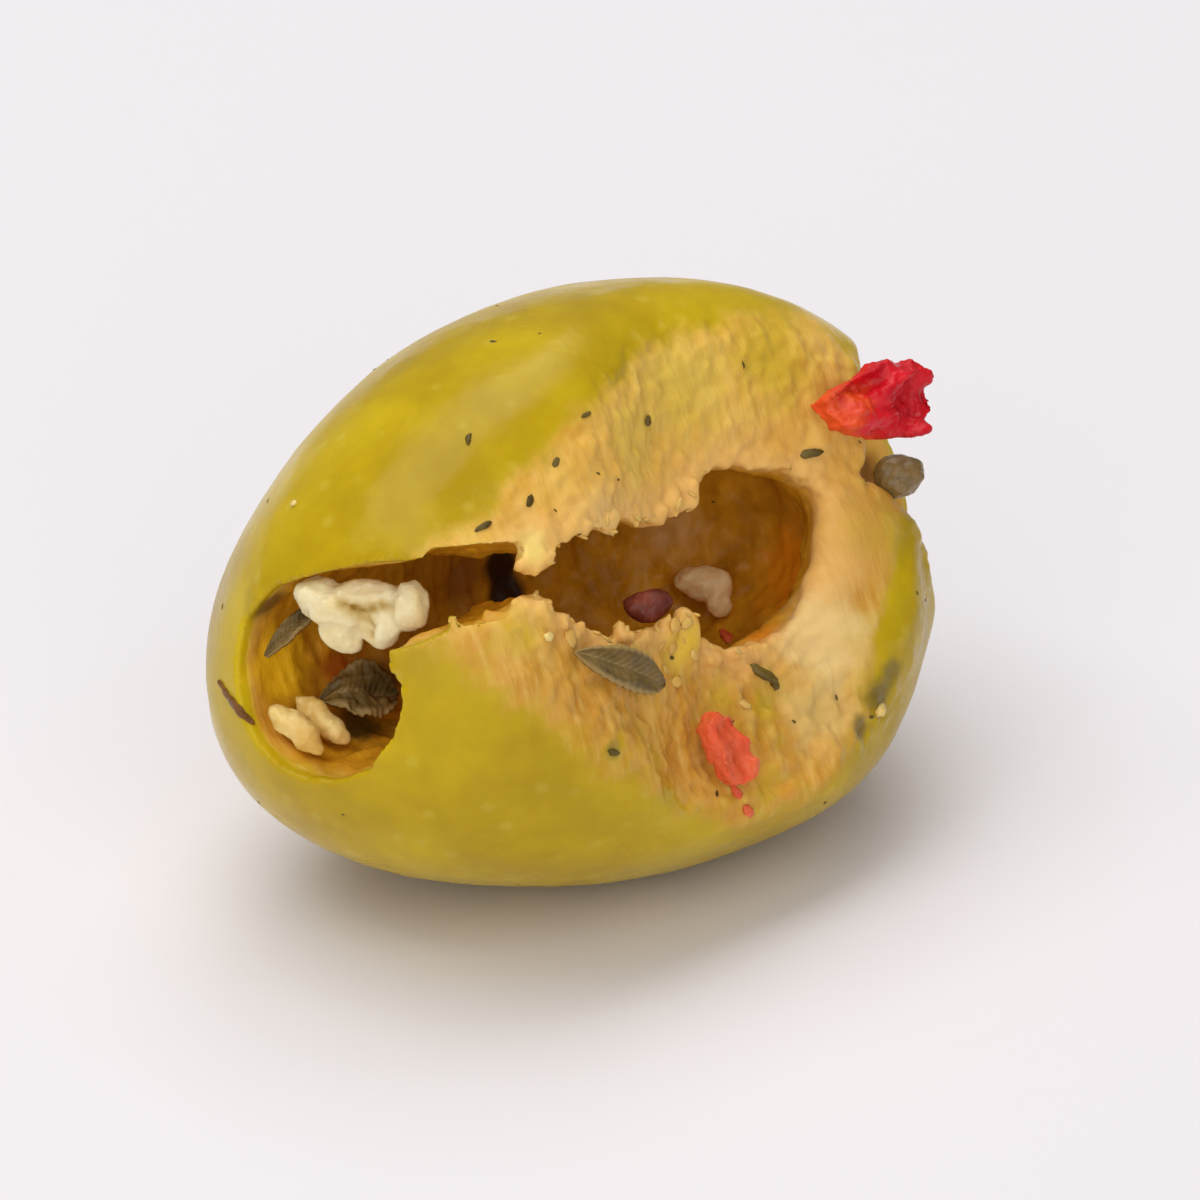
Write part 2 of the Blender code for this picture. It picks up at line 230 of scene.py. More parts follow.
def store(mesh: bpy.types.Mesh, name: str, values: np.ndarray) -> None:
    """Keeps a value or a vector for each point of the mesh, for its material to read."""
    kind, key = ("FLOAT", "value") if values.ndim == 1 else ("FLOAT_VECTOR", "vector")
    layer = mesh.attributes.new(name, kind, "POINT")
    layer.data.foreach_set(key, values.astype(np.float32).ravel())


def relaxed(mesh: bpy.types.Mesh, places: np.ndarray, strength: np.ndarray, rounds: int) -> np.ndarray:
    """Moves each point towards the middle of its neighbours.

    Args:
        mesh: gives the edges.
        places: the points as rows.
        strength: how far each point moves in a round, from 0 to 1.
        rounds: how many times.

    Returns:
        The new places.
    """
    edges = np.empty(len(mesh.edges) * 2, dtype=np.int64)
    mesh.edges.foreach_get("vertices", edges)
    start, end = edges[0::2], edges[1::2]
    count = np.bincount(edges, minlength=len(places)).clip(1)[:, None]
    least = len(places)
    for _ in range(rounds):
        total = np.stack([
            np.bincount(start, row[end], least) + np.bincount(end, row[start], least)
            for row in places.T
        ], axis=1)
        places = places + (total / count - places) * strength[:, None]
    return places


def applied(item: bpy.types.Object) -> bpy.types.Mesh:
    """The object's mesh with its modifiers applied. The object itself is removed."""
    dependencies = bpy.context.evaluated_depsgraph_get()
    mesh = bpy.data.meshes.new_from_object(item.evaluated_get(dependencies))
    old = item.data
    bpy.data.objects.remove(item, do_unlink=True)
    if old.users == 0:
        bpy.data.meshes.remove(old)
    return mesh


def remeshed(mesh: bpy.types.Mesh, voxel: float) -> bpy.types.Mesh:
    """Joins everything in a mesh, given in millimetres, to one even skin of small faces.

    Args:
        mesh: closed shapes, which may cross.
        voxel: the size of the new faces in millimetres.

    Returns:
        The new mesh.
    """
    item = linked("remesh", mesh)
    step = item.modifiers.new("remesh", "REMESH")
    step.mode = "VOXEL"
    step.voxel_size = voxel
    step.use_smooth_shade = True
    return applied(item)


def thinned(mesh: bpy.types.Mesh, most: int) -> bpy.types.Mesh:
    """Joins faces where the surface bends least, until no more triangles are left than given."""
    item = linked("thin", mesh)
    step = item.modifiers.new("thin", "DECIMATE")
    step.ratio = min(1.0, most / triangle_count(mesh))
    return applied(item)


def node_shape(node: str) -> bmesh.types.BMesh:
    """A CAD node's shape with its points merged, in millimetres from the fruit's middle."""
    shape = bmesh.new()
    shape.from_mesh(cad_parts[node].data)
    bmesh.ops.remove_doubles(shape, verts=shape.verts, dist=MERGE)
    bmesh.ops.scale(shape, verts=shape.verts, vec=(1 / MM,) * 3)
    bmesh.ops.translate(shape, verts=shape.verts, vec=-MIDDLE)
    return shape


def node_middle(node: str) -> Vector:
    """The middle of a CAD node's box, in millimetres from the fruit's middle."""
    low, high = (Vector(corner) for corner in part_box(node))
    return (low + high) / 2 / MM - MIDDLE


def to_mesh(shape: bmesh.types.BMesh, name: str) -> bpy.types.Mesh:
    """Turns a bmesh into a mesh and frees it."""
    mesh = bpy.data.meshes.new(name)
    shape.to_mesh(mesh)
    shape.free()
    return mesh


def joined(shapes: list[bmesh.types.BMesh], name: str) -> bpy.types.Mesh:
    """Puts several shapes in one mesh and frees them."""
    mesh = bpy.data.meshes.new(name)
    whole = bmesh.new()
    for shape in shapes:
        shape.to_mesh(mesh)
        shape.free()
        whole.from_mesh(mesh)
    whole.to_mesh(mesh)
    whole.free()
    return mesh


def settle(name: str, mesh: bpy.types.Mesh, replaced: tuple[str, ...] = ()) -> bpy.types.Object:
    """Writes a finished mesh in metres, links it to the body, and hides the CAD nodes that it stands for.

    Args:
        name: the piece's name.
        mesh: its shape in millimetres from the fruit's middle.
        replaced: the CAD nodes that it stands for.

    Returns:
        The piece.
    """
    mesh.name = name
    set_places(mesh, (mesh_places(mesh) + np.array(MIDDLE)) * MM)
    mesh.shade_smooth()
    piece = linked(name, mesh)
    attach(piece, BODY)
    if replaced:
        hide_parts(*replaced)
    LOG.info("%s: %d triangles", name, triangle_count(mesh))
    return piece


class Sight:
    """Finds where a line of sight through a place on the picture's plane meets a shape."""

    def __init__(self, mesh: bpy.types.Mesh) -> None:
        """Args: mesh: the shape, in millimetres from the fruit's middle."""
        shape = bmesh.new()
        shape.from_mesh(mesh)
        self.tree = BVHTree.FromBMesh(shape)
        shape.free()
        self.right, self.up = picture_axes()
        self.back = to_viewer()

    def land(self, place: Pair) -> tuple[Vector, Vector]:
        """Where a place on the picture's plane lies on the shape.

        Args:
            place: millimetres to the right of the fruit's middle and up from it.

        Returns:
            The point and the surface's normal there.
        """
        start = self.right * place[0] + self.up * place[1] + self.back * SIGHT_START
        point, normal, _, _ = self.tree.ray_cast(start, -self.back)
        if point is None:
            point, normal, _, _ = self.tree.find_nearest(start - self.back * SIGHT_START)
        return point, normal

    def way_on(self, turn: float, normal: Vector) -> Vector:
        """The direction along a surface with this normal that looks turned by degrees from the right."""
        way = picture_way(turn)
        return way - self.back * (way.dot(normal) / max(normal.dot(self.back), LEAST_SLOPE))


@dataclass(frozen=True)
class Lobe:
    """One rounded, uneven lump: its middle, half sizes along its own axes, and the turn of the first axis."""

    middle: Place
    half: Place
    turn: float = 0.0
    uneven: float = 0.2
    seed: int = 0

    def shape(self, centre: Vector, along: Vector, facing: Vector) -> bmesh.types.BMesh:
        """Builds the lump.

        Args:
            centre: where its middle is.
            along: the way of its first axis.
            facing: the way that its third axis leans to.

        Returns:
            The closed lump.
        """
        shape = bmesh.new()
        bmesh.ops.create_icosphere(shape, subdivisions=LOBE_DETAIL, radius=1.0)
        ways = np.array([vertex.co[:] for vertex in shape.verts])
        noise = layered_noise(ways * LOBE_LUMPS + self.seed * LOBE_SHIFT, seed=self.seed, layers=2)
        bumps = noise * self.uneven * min(self.half)
        first = along.normalized()
        second = facing.cross(first).normalized()
        turn = Matrix((first, second, first.cross(second))).transposed()
        for vertex, way, bump in zip(shape.verts, ways, bumps):
            vertex.co = centre + turn @ Vector(way * np.array(self.half) + way * bump)
        return shape


@dataclass(frozen=True)
class Teeth:
    """A row of torn teeth along one edge of the mouth, each with its place in the picture and its radius.

    A tooth is landed on the flesh that is seen above its place by the rise. It then goes back by the share
    sunk of that way, and away from the viewer by back. Its half sizes are shares of its radius.
    """

    places: tuple[Place, ...]
    rise: float
    sunk: float
    back: float
    half: Place
    uneven: float
    first_seed: int

    def shapes(self, sight: Sight) -> list[bmesh.types.BMesh]:
        """Builds the teeth.

        Args:
            sight: finds the places on the CAD solid.

        Returns:
            A closed lump for each, sunk into the edge.
        """
        shapes = []
        for seed, (right, up, radius) in enumerate(self.places, self.first_seed):
            centre, _ = sight.land((right, up + self.rise))
            centre = centre - sight.up * self.rise * self.sunk - sight.back * self.back
            half = tuple(radius * share for share in self.half)
            lobe = Lobe((0, 0, 0), half, uneven=self.uneven, seed=seed)
            shapes.append(lobe.shape(centre, sight.right, sight.back))
        return shapes


class Wiring:
    """Adds nodes to one node tree and joins them, from left to right."""

    def __init__(self, tree: bpy.types.NodeTree) -> None:
        """Args: tree: the node tree to fill."""
        self.tree = tree

    def add(self, kind: str, inputs: dict | None = None, **settings) -> bpy.types.Node:
        """Adds a node.

        Args:
            kind: the node's Blender type.
            inputs: values or output sockets, by input name or number.
            settings: the node's own settings.

        Returns:
            The node.
        """
        node = self.tree.nodes.new(kind)
        node.location.x = NODE_GAP * len(self.tree.nodes)
        for key, value in settings.items():
            setattr(node, key, value)
        for key, value in (inputs or {}).items():
            if isinstance(value, bpy.types.NodeSocket):
                self.tree.links.new(value, node.inputs[key])
            else:
                node.inputs[key].default_value = value
        return node

    def maths(self, operation: str, first, second=0.0) -> bpy.types.NodeSocket:
        """One sum on values or sockets. Returns its output."""
        return self.add("ShaderNodeMath", {0: first, 1: second}, operation=operation).outputs[0]

    def ramp(
        self, value, low: float, high: float, start: float = 0.0, end: float = 1.0
    ) -> bpy.types.NodeSocket:
        """A smooth rise from start to end as the value goes from low to high. Returns its output."""
        node = self.add(
            "ShaderNodeMapRange",
            {"Value": value, "From Min": low, "From Max": high, "To Min": start, "To Max": end},
            interpolation_type="SMOOTHSTEP",
        )
        return node.outputs["Result"]

    def mix(self, share, first, second) -> bpy.types.NodeSocket:
        """Mixes two colours by a share. Returns the colour socket."""
        node = self.add("ShaderNodeMix", data_type="RGBA")
        for number, value in ((0, share), (6, first), (7, second)):
            if isinstance(value, bpy.types.NodeSocket):
                self.tree.links.new(value, node.inputs[number])
            else:
                node.inputs[number].default_value = (*value, 1.0) if isinstance(value, tuple) else value
        return node.outputs[2]

    def attribute(self, name: str) -> bpy.types.Node:
        """Reads one of the mesh's own attributes."""
        return self.add("ShaderNodeAttribute", attribute_name=name)

    def grain(self, where, scale, detail: float = 3.0, rough: float = 0.55) -> bpy.types.NodeSocket:
        """Noise over a place. Returns its value."""
        inputs = {"Vector": where, "Scale": scale, "Detail": detail, "Roughness": rough}
        return self.add("ShaderNodeTexNoise", inputs).outputs["Fac"]

    def group(self, tree: bpy.types.NodeTree, inputs: dict) -> bpy.types.Node:
        """Places a node group with its own values."""
        return self.add("ShaderNodeGroup", inputs, node_tree=tree)


def new_group(name: str, tree: str, takes: dict[str, str], gives: dict[str, str]) -> bpy.types.NodeTree:
    """Starts a node group.

    Args:
        name: the group's name.
        tree: the kind of its tree.
        takes: the kind of each input, by its name.
        gives: the kind of each output, by its name.

    Returns:
        The empty group.
    """
    group = bpy.data.node_groups.new(name, tree + "NodeTree")
    for side, labels in (("INPUT", takes), ("OUTPUT", gives)):
        for label, kind in labels.items():
            group.interface.new_socket(label, in_out=side, socket_type="NodeSocket" + kind)
    return group


def mottle_group() -> bpy.types.NodeTree:
    """Two colours that drift into each other in clouds."""
    takes = {"Place": "Vector", "Light": "Color", "Dark": "Color", "Cloud": "Float", "Spread": "Float"}
    group = new_group("mottled colour", "Shader", takes, {"Colour": "Color"})
    wiring = Wiring(group)
    given = wiring.add("NodeGroupInput").outputs
    noise = wiring.grain(given["Place"], given["Cloud"], 4.0, 0.6)
    low = wiring.maths("SUBTRACT", 0.5, given["Spread"])
    high = wiring.maths("ADD", 0.5, given["Spread"])
    share = wiring.ramp(noise, low, high)
    wiring.add("NodeGroupOutput", {"Colour": wiring.mix(share, given["Light"], given["Dark"])})
    return group


def patch_group() -> bpy.types.NodeTree:
    """A soft spot round a place, with an uneven edge."""
    takes = {"Place": "Vector", "Centre": "Vector", "Radius": "Float", "Blur": "Float", "Ragged": "Float"}
    group = new_group("soft patch", "Shader", takes, {"Share": "Float"})
    wiring = Wiring(group)
    given = wiring.add("NodeGroupInput").outputs
    gap = wiring.add("ShaderNodeVectorMath", {0: given["Place"], 1: given["Centre"]}, operation="DISTANCE")
    noise = wiring.grain(given["Place"], PATCH_GRAIN)
    wobble = wiring.maths("MULTIPLY", wiring.maths("SUBTRACT", noise, 0.5), given["Ragged"])
    reach = wiring.maths("ADD", gap.outputs["Value"], wobble)
    inner = wiring.maths("SUBTRACT", given["Radius"], given["Blur"])
    share = wiring.ramp(reach, inner, given["Radius"], 1.0, 0.0)
    wiring.add("NodeGroupOutput", {"Share": share})
    return group


def film_group() -> bpy.types.NodeTree:
    """A thin film of oil: how rough it is, and its slow waves with a fine grain under them."""
    takes = {"Place": "Vector", "Wave": "Float", "Grain": "Float", "Wet": "Float", "Dry": "Float"}
    group = new_group("oil film", "Shader", takes, {"Roughness": "Float", "Height": "Float"})
    wiring = Wiring(group)
    given = wiring.add("NodeGroupInput").outputs
    wave = wiring.grain(given["Place"], given["Wave"], 2.0, 0.5)
    fine = wiring.grain(given["Place"], given["Grain"], 3.0, 0.5)
    rough = wiring.ramp(wave, 0.35, 0.65, given["Wet"], given["Dry"])
    height = wiring.maths("ADD", wave, wiring.maths("MULTIPLY", fine, FINE_SHARE))
    wiring.add("NodeGroupOutput", {"Roughness": rough, "Height": height})
    return group


class Effects:
    """The shader groups that several finishes share, each built once."""

    def __init__(self) -> None:
        """Builds the groups."""
        self.mottle = mottle_group()
        self.patch = patch_group()
        self.film = film_group()

    def mottled(
        self, wiring: Wiring, place: bpy.types.NodeSocket, shades: Shades, cloud: float, spread: float
    ) -> bpy.types.NodeSocket:
        """Places the mottling group with a light and a dark shade. Returns its colour."""
        light, dark = ((*shade, 1.0) for shade in shades)
        inputs = {"Place": place, "Light": light, "Dark": dark, "Cloud": cloud, "Spread": spread}
        return wiring.group(self.mottle, inputs).outputs["Colour"]


@dataclass(frozen=True)
class Gloss:
    """The values of a finish that are the same all over its surface."""

    subsurface: float = 0.0
    depth: float = 0.8
    tint: Colour = (1.0, 0.6, 0.3)
    shine: float = 0.5
    coat: float = 0.0
    coat_roughness: float = 0.1
    index: float = 1.4

    def set_on(self, shader: bpy.types.Node) -> None:
        """Sets the values on a Principled shader's own sockets."""
        values = {
            "Subsurface Weight": self.subsurface,
            "Subsurface Radius": self.tint,
            "Subsurface Scale": self.depth * MM,
            "Specular IOR Level": self.shine,
            "Coat Weight": self.coat,
            "Coat Roughness": self.coat_roughness,
            "IOR": self.index,
        }
        for name, value in values.items():
            shader.inputs[name].default_value = value


def start_material(name: str, gloss: Gloss) -> tuple[bpy.types.Material, Wiring, bpy.types.Node]:
    """A new material, its wiring and its shader, with the gloss set."""
    material = bpy.data.materials.new(name)
    material.use_nodes = True
    shader = material.node_tree.nodes["Principled BSDF"]
    gloss.set_on(shader)
    return material, Wiring(material.node_tree), shader


def wire_shader(wiring: Wiring, shader: bpy.types.Node, colour, rough, height, relief: float) -> None:
    """Joins a finish's colour, roughness and bumps, with its relief in millimetres, to the shader."""
    bump = wiring.add("ShaderNodeBump", {"Height": height, "Distance": relief * MM})
    sockets = {"Base Color": colour, "Roughness": rough, "Normal": bump.outputs["Normal"]}
    for name, socket in sockets.items():
        wiring.tree.links.new(socket, shader.inputs[name])


@dataclass(frozen=True)
class MorselFinish:
    """A wet, mottled finish for a piece of the marinade, with a colour of its own where its tone is high."""

    name: str
    light: Colour
    dark: Colour
    toned: Colour = (0.5, 0.3, 0.1)
    cloud: float = 700.0
    spread: float = 0.2
    wet: float = 0.2
    dry: float = 0.45
    wave: float = 900.0
    grain: float = 5000.0
    relief: float = 0.05
    gloss: Gloss = Gloss()

    def material(self, effects: Effects) -> bpy.types.Material:
        """Builds the material from the shared groups.

        Args:
            effects: the shared shader groups.

        Returns:
            The material.
        """
        material, wiring, shader = start_material(self.name, self.gloss)
        place = wiring.add("ShaderNodeTexCoord").outputs["Object"]
        mottle = effects.mottled(wiring, place, (self.light, self.dark), self.cloud, self.spread)
        colour = wiring.mix(wiring.attribute("tone").outputs["Fac"], mottle, self.toned)
        film = wiring.group(effects.film, {
            "Place": place, "Wave": self.wave, "Grain": self.grain, "Wet": self.wet, "Dry": self.dry,
        })
        wire_shader(wiring, shader, colour, film.outputs["Roughness"], film.outputs["Height"], self.relief)
        return material


@dataclass(frozen=True)
class Patch:
    """A soft spot of colour on the olive, at a place in the picture. Some are the fruit's own colour, some
    are painted shade.
    """

    place: Pair
    radius: float
    colour: Colour
    strength: float = 0.7
    blur: float = 0.7
    ragged: float = 0.8


@dataclass(frozen=True)
class OliveFinish:
    """Oily skin, fibrous torn flesh and the wet brown wall of the hollow, chosen by the mesh's depths."""

    skin_shades: Shades = ((0.62, 0.44, 0.006), (0.42, 0.27, 0.004))
    skin_dot: Colour = (0.66, 0.52, 0.08)
    lower_shades: Shades = ((0.68, 0.37, 0.055), (0.54, 0.23, 0.02))
    upper_shades: Shades = ((0.80, 0.50, 0.10), (0.74, 0.40, 0.065))
    flesh_green: Colour = (0.56, 0.38, 0.015)
    flesh_pale: Colour = (0.82, 0.56, 0.16)
    # cream of the torn flesh, lightened along the mouth's edge as a painted highlight
    edge_cream: Colour = (0.80, 0.46, 0.15)
    wall_shades: Shades = ((0.80, 0.39, 0.02), (0.46, 0.19, 0.005))
    spread: float = 0.25
    skin_cloud: float = 160.0
    flesh_cloud: float = 420.0
    green_cloud: float = 330.0
    wall_cloud: float = 600.0
    border_grain: float = 1500.0
    dot_grain: float = 700.0
    fibre: Place = (3.2, 0.45, 1.0)
    wave: float = 260.0
    grain: float = 2600.0
    wet: float = 0.20
    dry: float = 0.32
    relief: float = 0.05
    gloss: Gloss = Gloss(subsurface=0.25, depth=0.8, tint=(1.0, 0.55, 0.08), shine=0.26)

    def material(self, effects: Effects, sight: Sight, patches: tuple[Patch, ...]) -> bpy.types.Material:
        """Builds the material.

        Args:
            effects: the shared shader groups.
            sight: finds the patches' places on the fruit.
            patches: spots of the fruit's own colour, and spots of painted shade.

        Returns:
            The material.
        """
        material, wiring, shader = start_material("olive_skin_and_flesh", self.gloss)
        place = wiring.add("ShaderNodeTexCoord").outputs["Object"]
        on_face = wiring.attribute("face_place").outputs["Vector"]
        uneven = wiring.maths("SUBTRACT", wiring.grain(place, self.border_grain), 0.5)
        torn = wiring.attribute("torn").outputs["Fac"]
        torn = wiring.ramp(wiring.maths("ADD", torn, wiring.maths("MULTIPLY", uneven, 0.6)), 0.15, 0.85)
        below = wiring.attribute("wall_depth").outputs["Fac"]
        below = wiring.ramp(wiring.maths("ADD", below, wiring.maths("MULTIPLY", uneven, 1.2)), 0.35, 1.5)
        stretched = wiring.add("ShaderNodeMapping", {"Vector": on_face, "Scale": self.fibre})
        fibre = wiring.grain(stretched.outputs["Vector"], 1.0, 4.0, 0.6)
        flesh = self.flesh(wiring, effects, place, on_face, fibre)
        wall = effects.mottled(wiring, place, self.wall_shades, self.wall_cloud, self.spread)
        colour = wiring.mix(torn, self.skin(wiring, effects, place), wiring.mix(below, flesh, wall))
        for patch in patches:
            colour = self.patched(wiring, effects, place, colour, patch, sight)
        film = wiring.group(effects.film, {
            "Place": place, "Wave": self.wave, "Grain": self.grain, "Wet": self.wet, "Dry": self.dry,
        })
        fibre_relief = wiring.maths("MULTIPLY", fibre, wiring.ramp(torn, 0.1, 0.9, 0.0, 1.1))
        height = wiring.maths("ADD", film.outputs["Height"], fibre_relief)
        rough = wiring.maths("ADD", film.outputs["Roughness"], wiring.maths("MULTIPLY", torn, 0.1))
        wire_shader(wiring, shader, colour, rough, height, self.relief)
        return material

    def skin(self, wiring: Wiring, effects: Effects, place: bpy.types.NodeSocket) -> bpy.types.NodeSocket:
        """The skin's clouds of green and yellow, with faint pale dots. Returns its colour."""
        clouds = effects.mottled(wiring, place, self.skin_shades, self.skin_cloud, self.spread)
        cells = wiring.add("ShaderNodeTexVoronoi", {"Vector": place, "Scale": self.dot_grain})
        dots = wiring.ramp(cells.outputs["Distance"], 0.1, 0.25, 0.22, 0.0)
        return wiring.mix(dots, clouds, self.skin_dot)

    def flesh(
        self, wiring: Wiring, effects: Effects, place: bpy.types.NodeSocket, on_face: bpy.types.NodeSocket,
        fibre: bpy.types.NodeSocket,
    ) -> bpy.types.NodeSocket:
        """The torn flesh, greener below the mouth, with pale fibres and a cream edge that is partly a painted
        highlight. Returns its colour.
        """
        lower = effects.mottled(wiring, place, self.lower_shades, self.flesh_cloud, self.spread)
        upper = effects.mottled(wiring, place, self.upper_shades, self.flesh_cloud, self.spread)
        green = wiring.ramp(wiring.grain(place, self.green_cloud), 0.5, 0.66, 0.0, 0.8)
        across = wiring.add("ShaderNodeSeparateXYZ", {0: on_face}).outputs["Y"]
        lower = wiring.mix(green, lower, self.flesh_green)
        flesh = wiring.mix(wiring.ramp(across, -1.5, 3.0), lower, upper)
        flesh = wiring.mix(wiring.ramp(fibre, 0.42, 0.7, 0.0, 0.4), flesh, self.flesh_pale)
        # the mouth's edge: cream flesh colour with a painted highlight on it
        edge = wiring.maths("MULTIPLY", wiring.attribute("cream_highlight_share").outputs["Fac"], 0.6)
        return wiring.mix(edge, flesh, self.edge_cream)

    def patched(
        self, wiring: Wiring, effects: Effects, place: bpy.types.NodeSocket, colour: bpy.types.NodeSocket,
        patch: Patch, sight: Sight,
    ) -> bpy.types.NodeSocket:
        """Lays one patch over the colour so far. Returns the new colour."""
        spot = wiring.group(effects.patch, {
            "Place": place,
            "Centre": (sight.land(patch.place)[0] + MIDDLE) * MM,
            "Radius": patch.radius * MM,
            "Blur": patch.blur * patch.radius * MM,
            "Ragged": patch.ragged * patch.radius * MM,
        })
        share = wiring.maths("MULTIPLY", spot.outputs["Share"], patch.strength)
        return wiring.mix(share, colour, patch.colour)


@dataclass
class Fruit:
    """The olive itself, refined from its CAD solid."""

    half_length: float = 15.0
    half_width: float = 11.0
    fullness: float = 2.1
    tip_height: float = 0.35
    tip_sharpness: int = 40
    swellings: tuple = (
        ((-14.2, 2.3, -4.5), 0.75, 5.5),
        ((-9.8, 7.0, 5.0), -0.7, 6.0),
        ((-6.8, -3.5, -9.2), -0.35, 5.0),
        ((7.5, -7.5, -7.1), 0.55, 5.0),
        ((12.2, -5.9, -2.0), -0.6, 4.5),
    )
    face_height: float = 5.4
    face_dish: float = 0.007
    lip_rise: float = 2.4
    lip_start: float = 0.5
    lip_end: float = -6.0
    lip_slant: float = 0.2
    voxel: float = 0.13
    most_triangles: int = 190000
    rim_narrow: float = 0.8
    rim_wide: float = 3.0
    cheek_middle: Pair = (8.2, -2.8)
    cheek_reach: Pair = (3.2, 4.4)
    cheek_rise: float = 0.8
    skin_waves: float = 0.05
    lump_size: float = 1.7
    crumb_size: float = 0.5
    wave_size: float = 3.0
    fibre_scale: Place = (2.6, 0.5, 0.8)
    wall_scale: Place = (1.5, 1.6, 0.8)
    flesh_lumps: float = 0.20
    flesh_crumbs: float = 0.04
    flesh_fibres: float = 0.02
    edge_crumbs: float = 0.13
    wall_waves: float = 0.16
    rim_rounds: int = 5
    notch_rounds: int = 40
    facet_rounds: int = 6
    wall_rounds: int = 24
    rim_steps: int = 4

    def skin_reach(self, way: np.ndarray) -> np.ndarray:
        """How far the uncut skin lies from the middle along each unit direction."""
        along = np.abs(way[:, 0]) / self.half_length
        around = np.hypot(way[:, 1], way[:, 2]) / self.half_width
        reach = (along ** self.fullness + around ** self.fullness) ** (-1 / self.fullness)
        reach = reach + self.tip_height * np.clip(way[:, 0], 0, None) ** self.tip_sharpness
        point = way * reach[:, None]
        for middle, height, width in self.swellings:
            gap = np.linalg.norm(point - np.array(middle), axis=1) / width
            reach = reach + height * np.exp(-gap ** 2)
        return reach

    def skin_depth(self, places: np.ndarray) -> np.ndarray:
        """How far each place lies inside the uncut skin, towards the middle."""
        length = np.linalg.norm(places, axis=1)
        return self.skin_reach(places / length[:, None]) - length

    def on_face(self, places: np.ndarray) -> np.ndarray:
        """Each place along, across and out of the torn face."""
        return places @ np.array(face_axes()).T

    def face_depth(self, on_face: np.ndarray) -> np.ndarray:
        """How far each place, given on the face, lies below the torn face."""
        along, across, out = on_face.T
        rise = 1 - ease(self.lip_end, self.lip_start, along - self.lip_slant * across)
        return self.face_height + self.face_dish * across ** 2 + self.lip_rise * rise - out

    def depths(self, places: np.ndarray) -> tuple[np.ndarray, np.ndarray, np.ndarray]:
        """Each place on the torn face, how deep it lies under the skin, and how deep below the face."""
        on_face = self.on_face(places)
        return on_face, self.skin_depth(places), self.face_depth(on_face)

    def height(self, places: np.ndarray) -> np.ndarray:
        """How far each place lies above the flat spot."""
        return places[:, 2] + MIDDLE.z

    def cheek(self, on_face: np.ndarray) -> np.ndarray:
        """1 in the middle of the smooth cheek beside the mouth's far end, falling to 0 round it."""
        gap = (on_face[:, :2] - np.array(self.cheek_middle)) / np.array(self.cheek_reach)
        return 1 - ease(0.45, 1.25, np.hypot(gap[:, 0], gap[:, 1]))

    def torn_share(self, mesh: bpy.types.Mesh, places: np.ndarray) -> np.ndarray:
        """How far each place is torn flesh rather than skin, from 0 to 1.

        Args:
            mesh: gives the normals.
            places: the points as rows.

        Returns:
            The depth under the skin decides inside, and the tear's outline decides round the torn face.
        """
        _, depth, below = self.depths(places)
        by_depth = ease(0.1, 0.9, depth)
        border = outline_depth(picture_places(places), TEAR_OUTLINE)
        border = border + 0.4 * layered_noise(places / 1.6, seed=21, layers=3)
        by_outline = ease(-1.1, 1.3, border)
        facing = mesh_normals(mesh) @ np.array(face_axes()[2])
        near = ease(0.2, 0.5, facing) * (1 - ease(1.5, 3.0, below)) * (1 - ease(1.6, 2.8, depth))
        return by_depth + near * (by_outline - by_depth)

    def torn_flesh(self, sight: Sight) -> list[bmesh.types.BMesh]:
        """Crumbs, teeth and a flap of flesh that hang on to the edges of the mouth.

        Args:
            sight: finds the places on the CAD solid.

        Returns:
            The closed shapes, which sink into the solid.
        """
        shapes = []
        for seed, (lobe, (right, up, sink)) in enumerate(TORN_LOBES):
            centre, _ = sight.land((lobe.middle[0] + right, lobe.middle[1] + up))
            centre = centre - sight.right * right - sight.up * up - sight.back * sink
            shapes.append(replace(lobe, seed=seed).shape(centre, picture_way(lobe.turn), sight.back))
        for teeth in TEETH:
            shapes += teeth.shapes(sight)
        return shapes

    def build(self) -> bpy.types.Mesh:
        """Refines the CAD solid to a smooth skin and torn, fibrous flesh.

        Returns:
            The fruit's mesh, in millimetres from its middle.
        """
        solid = to_mesh(node_shape("olive"), "olive_solid")
        sight = Sight(solid)
        shape = bmesh.new()
        shape.from_mesh(solid)
        bpy.data.meshes.remove(solid)
        mesh = remeshed(joined([shape] + self.torn_flesh(sight), "olive_rough"), self.voxel)
        places = self.smooth_walls(mesh, mesh_places(mesh))
        places = self.smooth_skin(mesh, places)
        places = self.round_rims(places)
        set_places(mesh, places)
        places = relaxed(mesh, places, RELAX * self.near_rim(places), self.rim_rounds)
        places = relaxed(mesh, places, RELAX * self.notch_rim(places), self.notch_rounds)
        set_places(mesh, places)
        set_places(mesh, self.tear(mesh, places))
        mesh = thinned(mesh, self.most_triangles)
        places = mesh_places(mesh)
        places[:, 2] = np.maximum(places[:, 2], -MIDDLE.z)
        set_places(mesh, places)
        self.mark(mesh, places)
        return mesh

    def smooth_walls(self, mesh: bpy.types.Mesh, places: np.ndarray) -> np.ndarray:
        """Takes the flat facets out of the flesh, most of all in the hollow and round the notch."""
        on_face, depth, below = self.depths(places)
        above_floor = places[:, 2] > -MIDDLE.z + 0.05
        places = relaxed(mesh, places, RELAX * ease(0.1, 0.3, depth) * above_floor, self.facet_rounds)
        hollow = ease(0.8, 2.0, np.minimum(depth, below))
        along, across, out = on_face.T
        notch = ease(8.5, 9.8, along) * ease(0.5, 1.5, out) * ease(-4.5, -2.5, across)
        smooth = np.maximum(np.maximum(hollow, notch), self.cheek(on_face) * ease(0.05, 0.3, depth))
        return relaxed(mesh, places, RELAX * smooth * above_floor, self.wall_rounds)

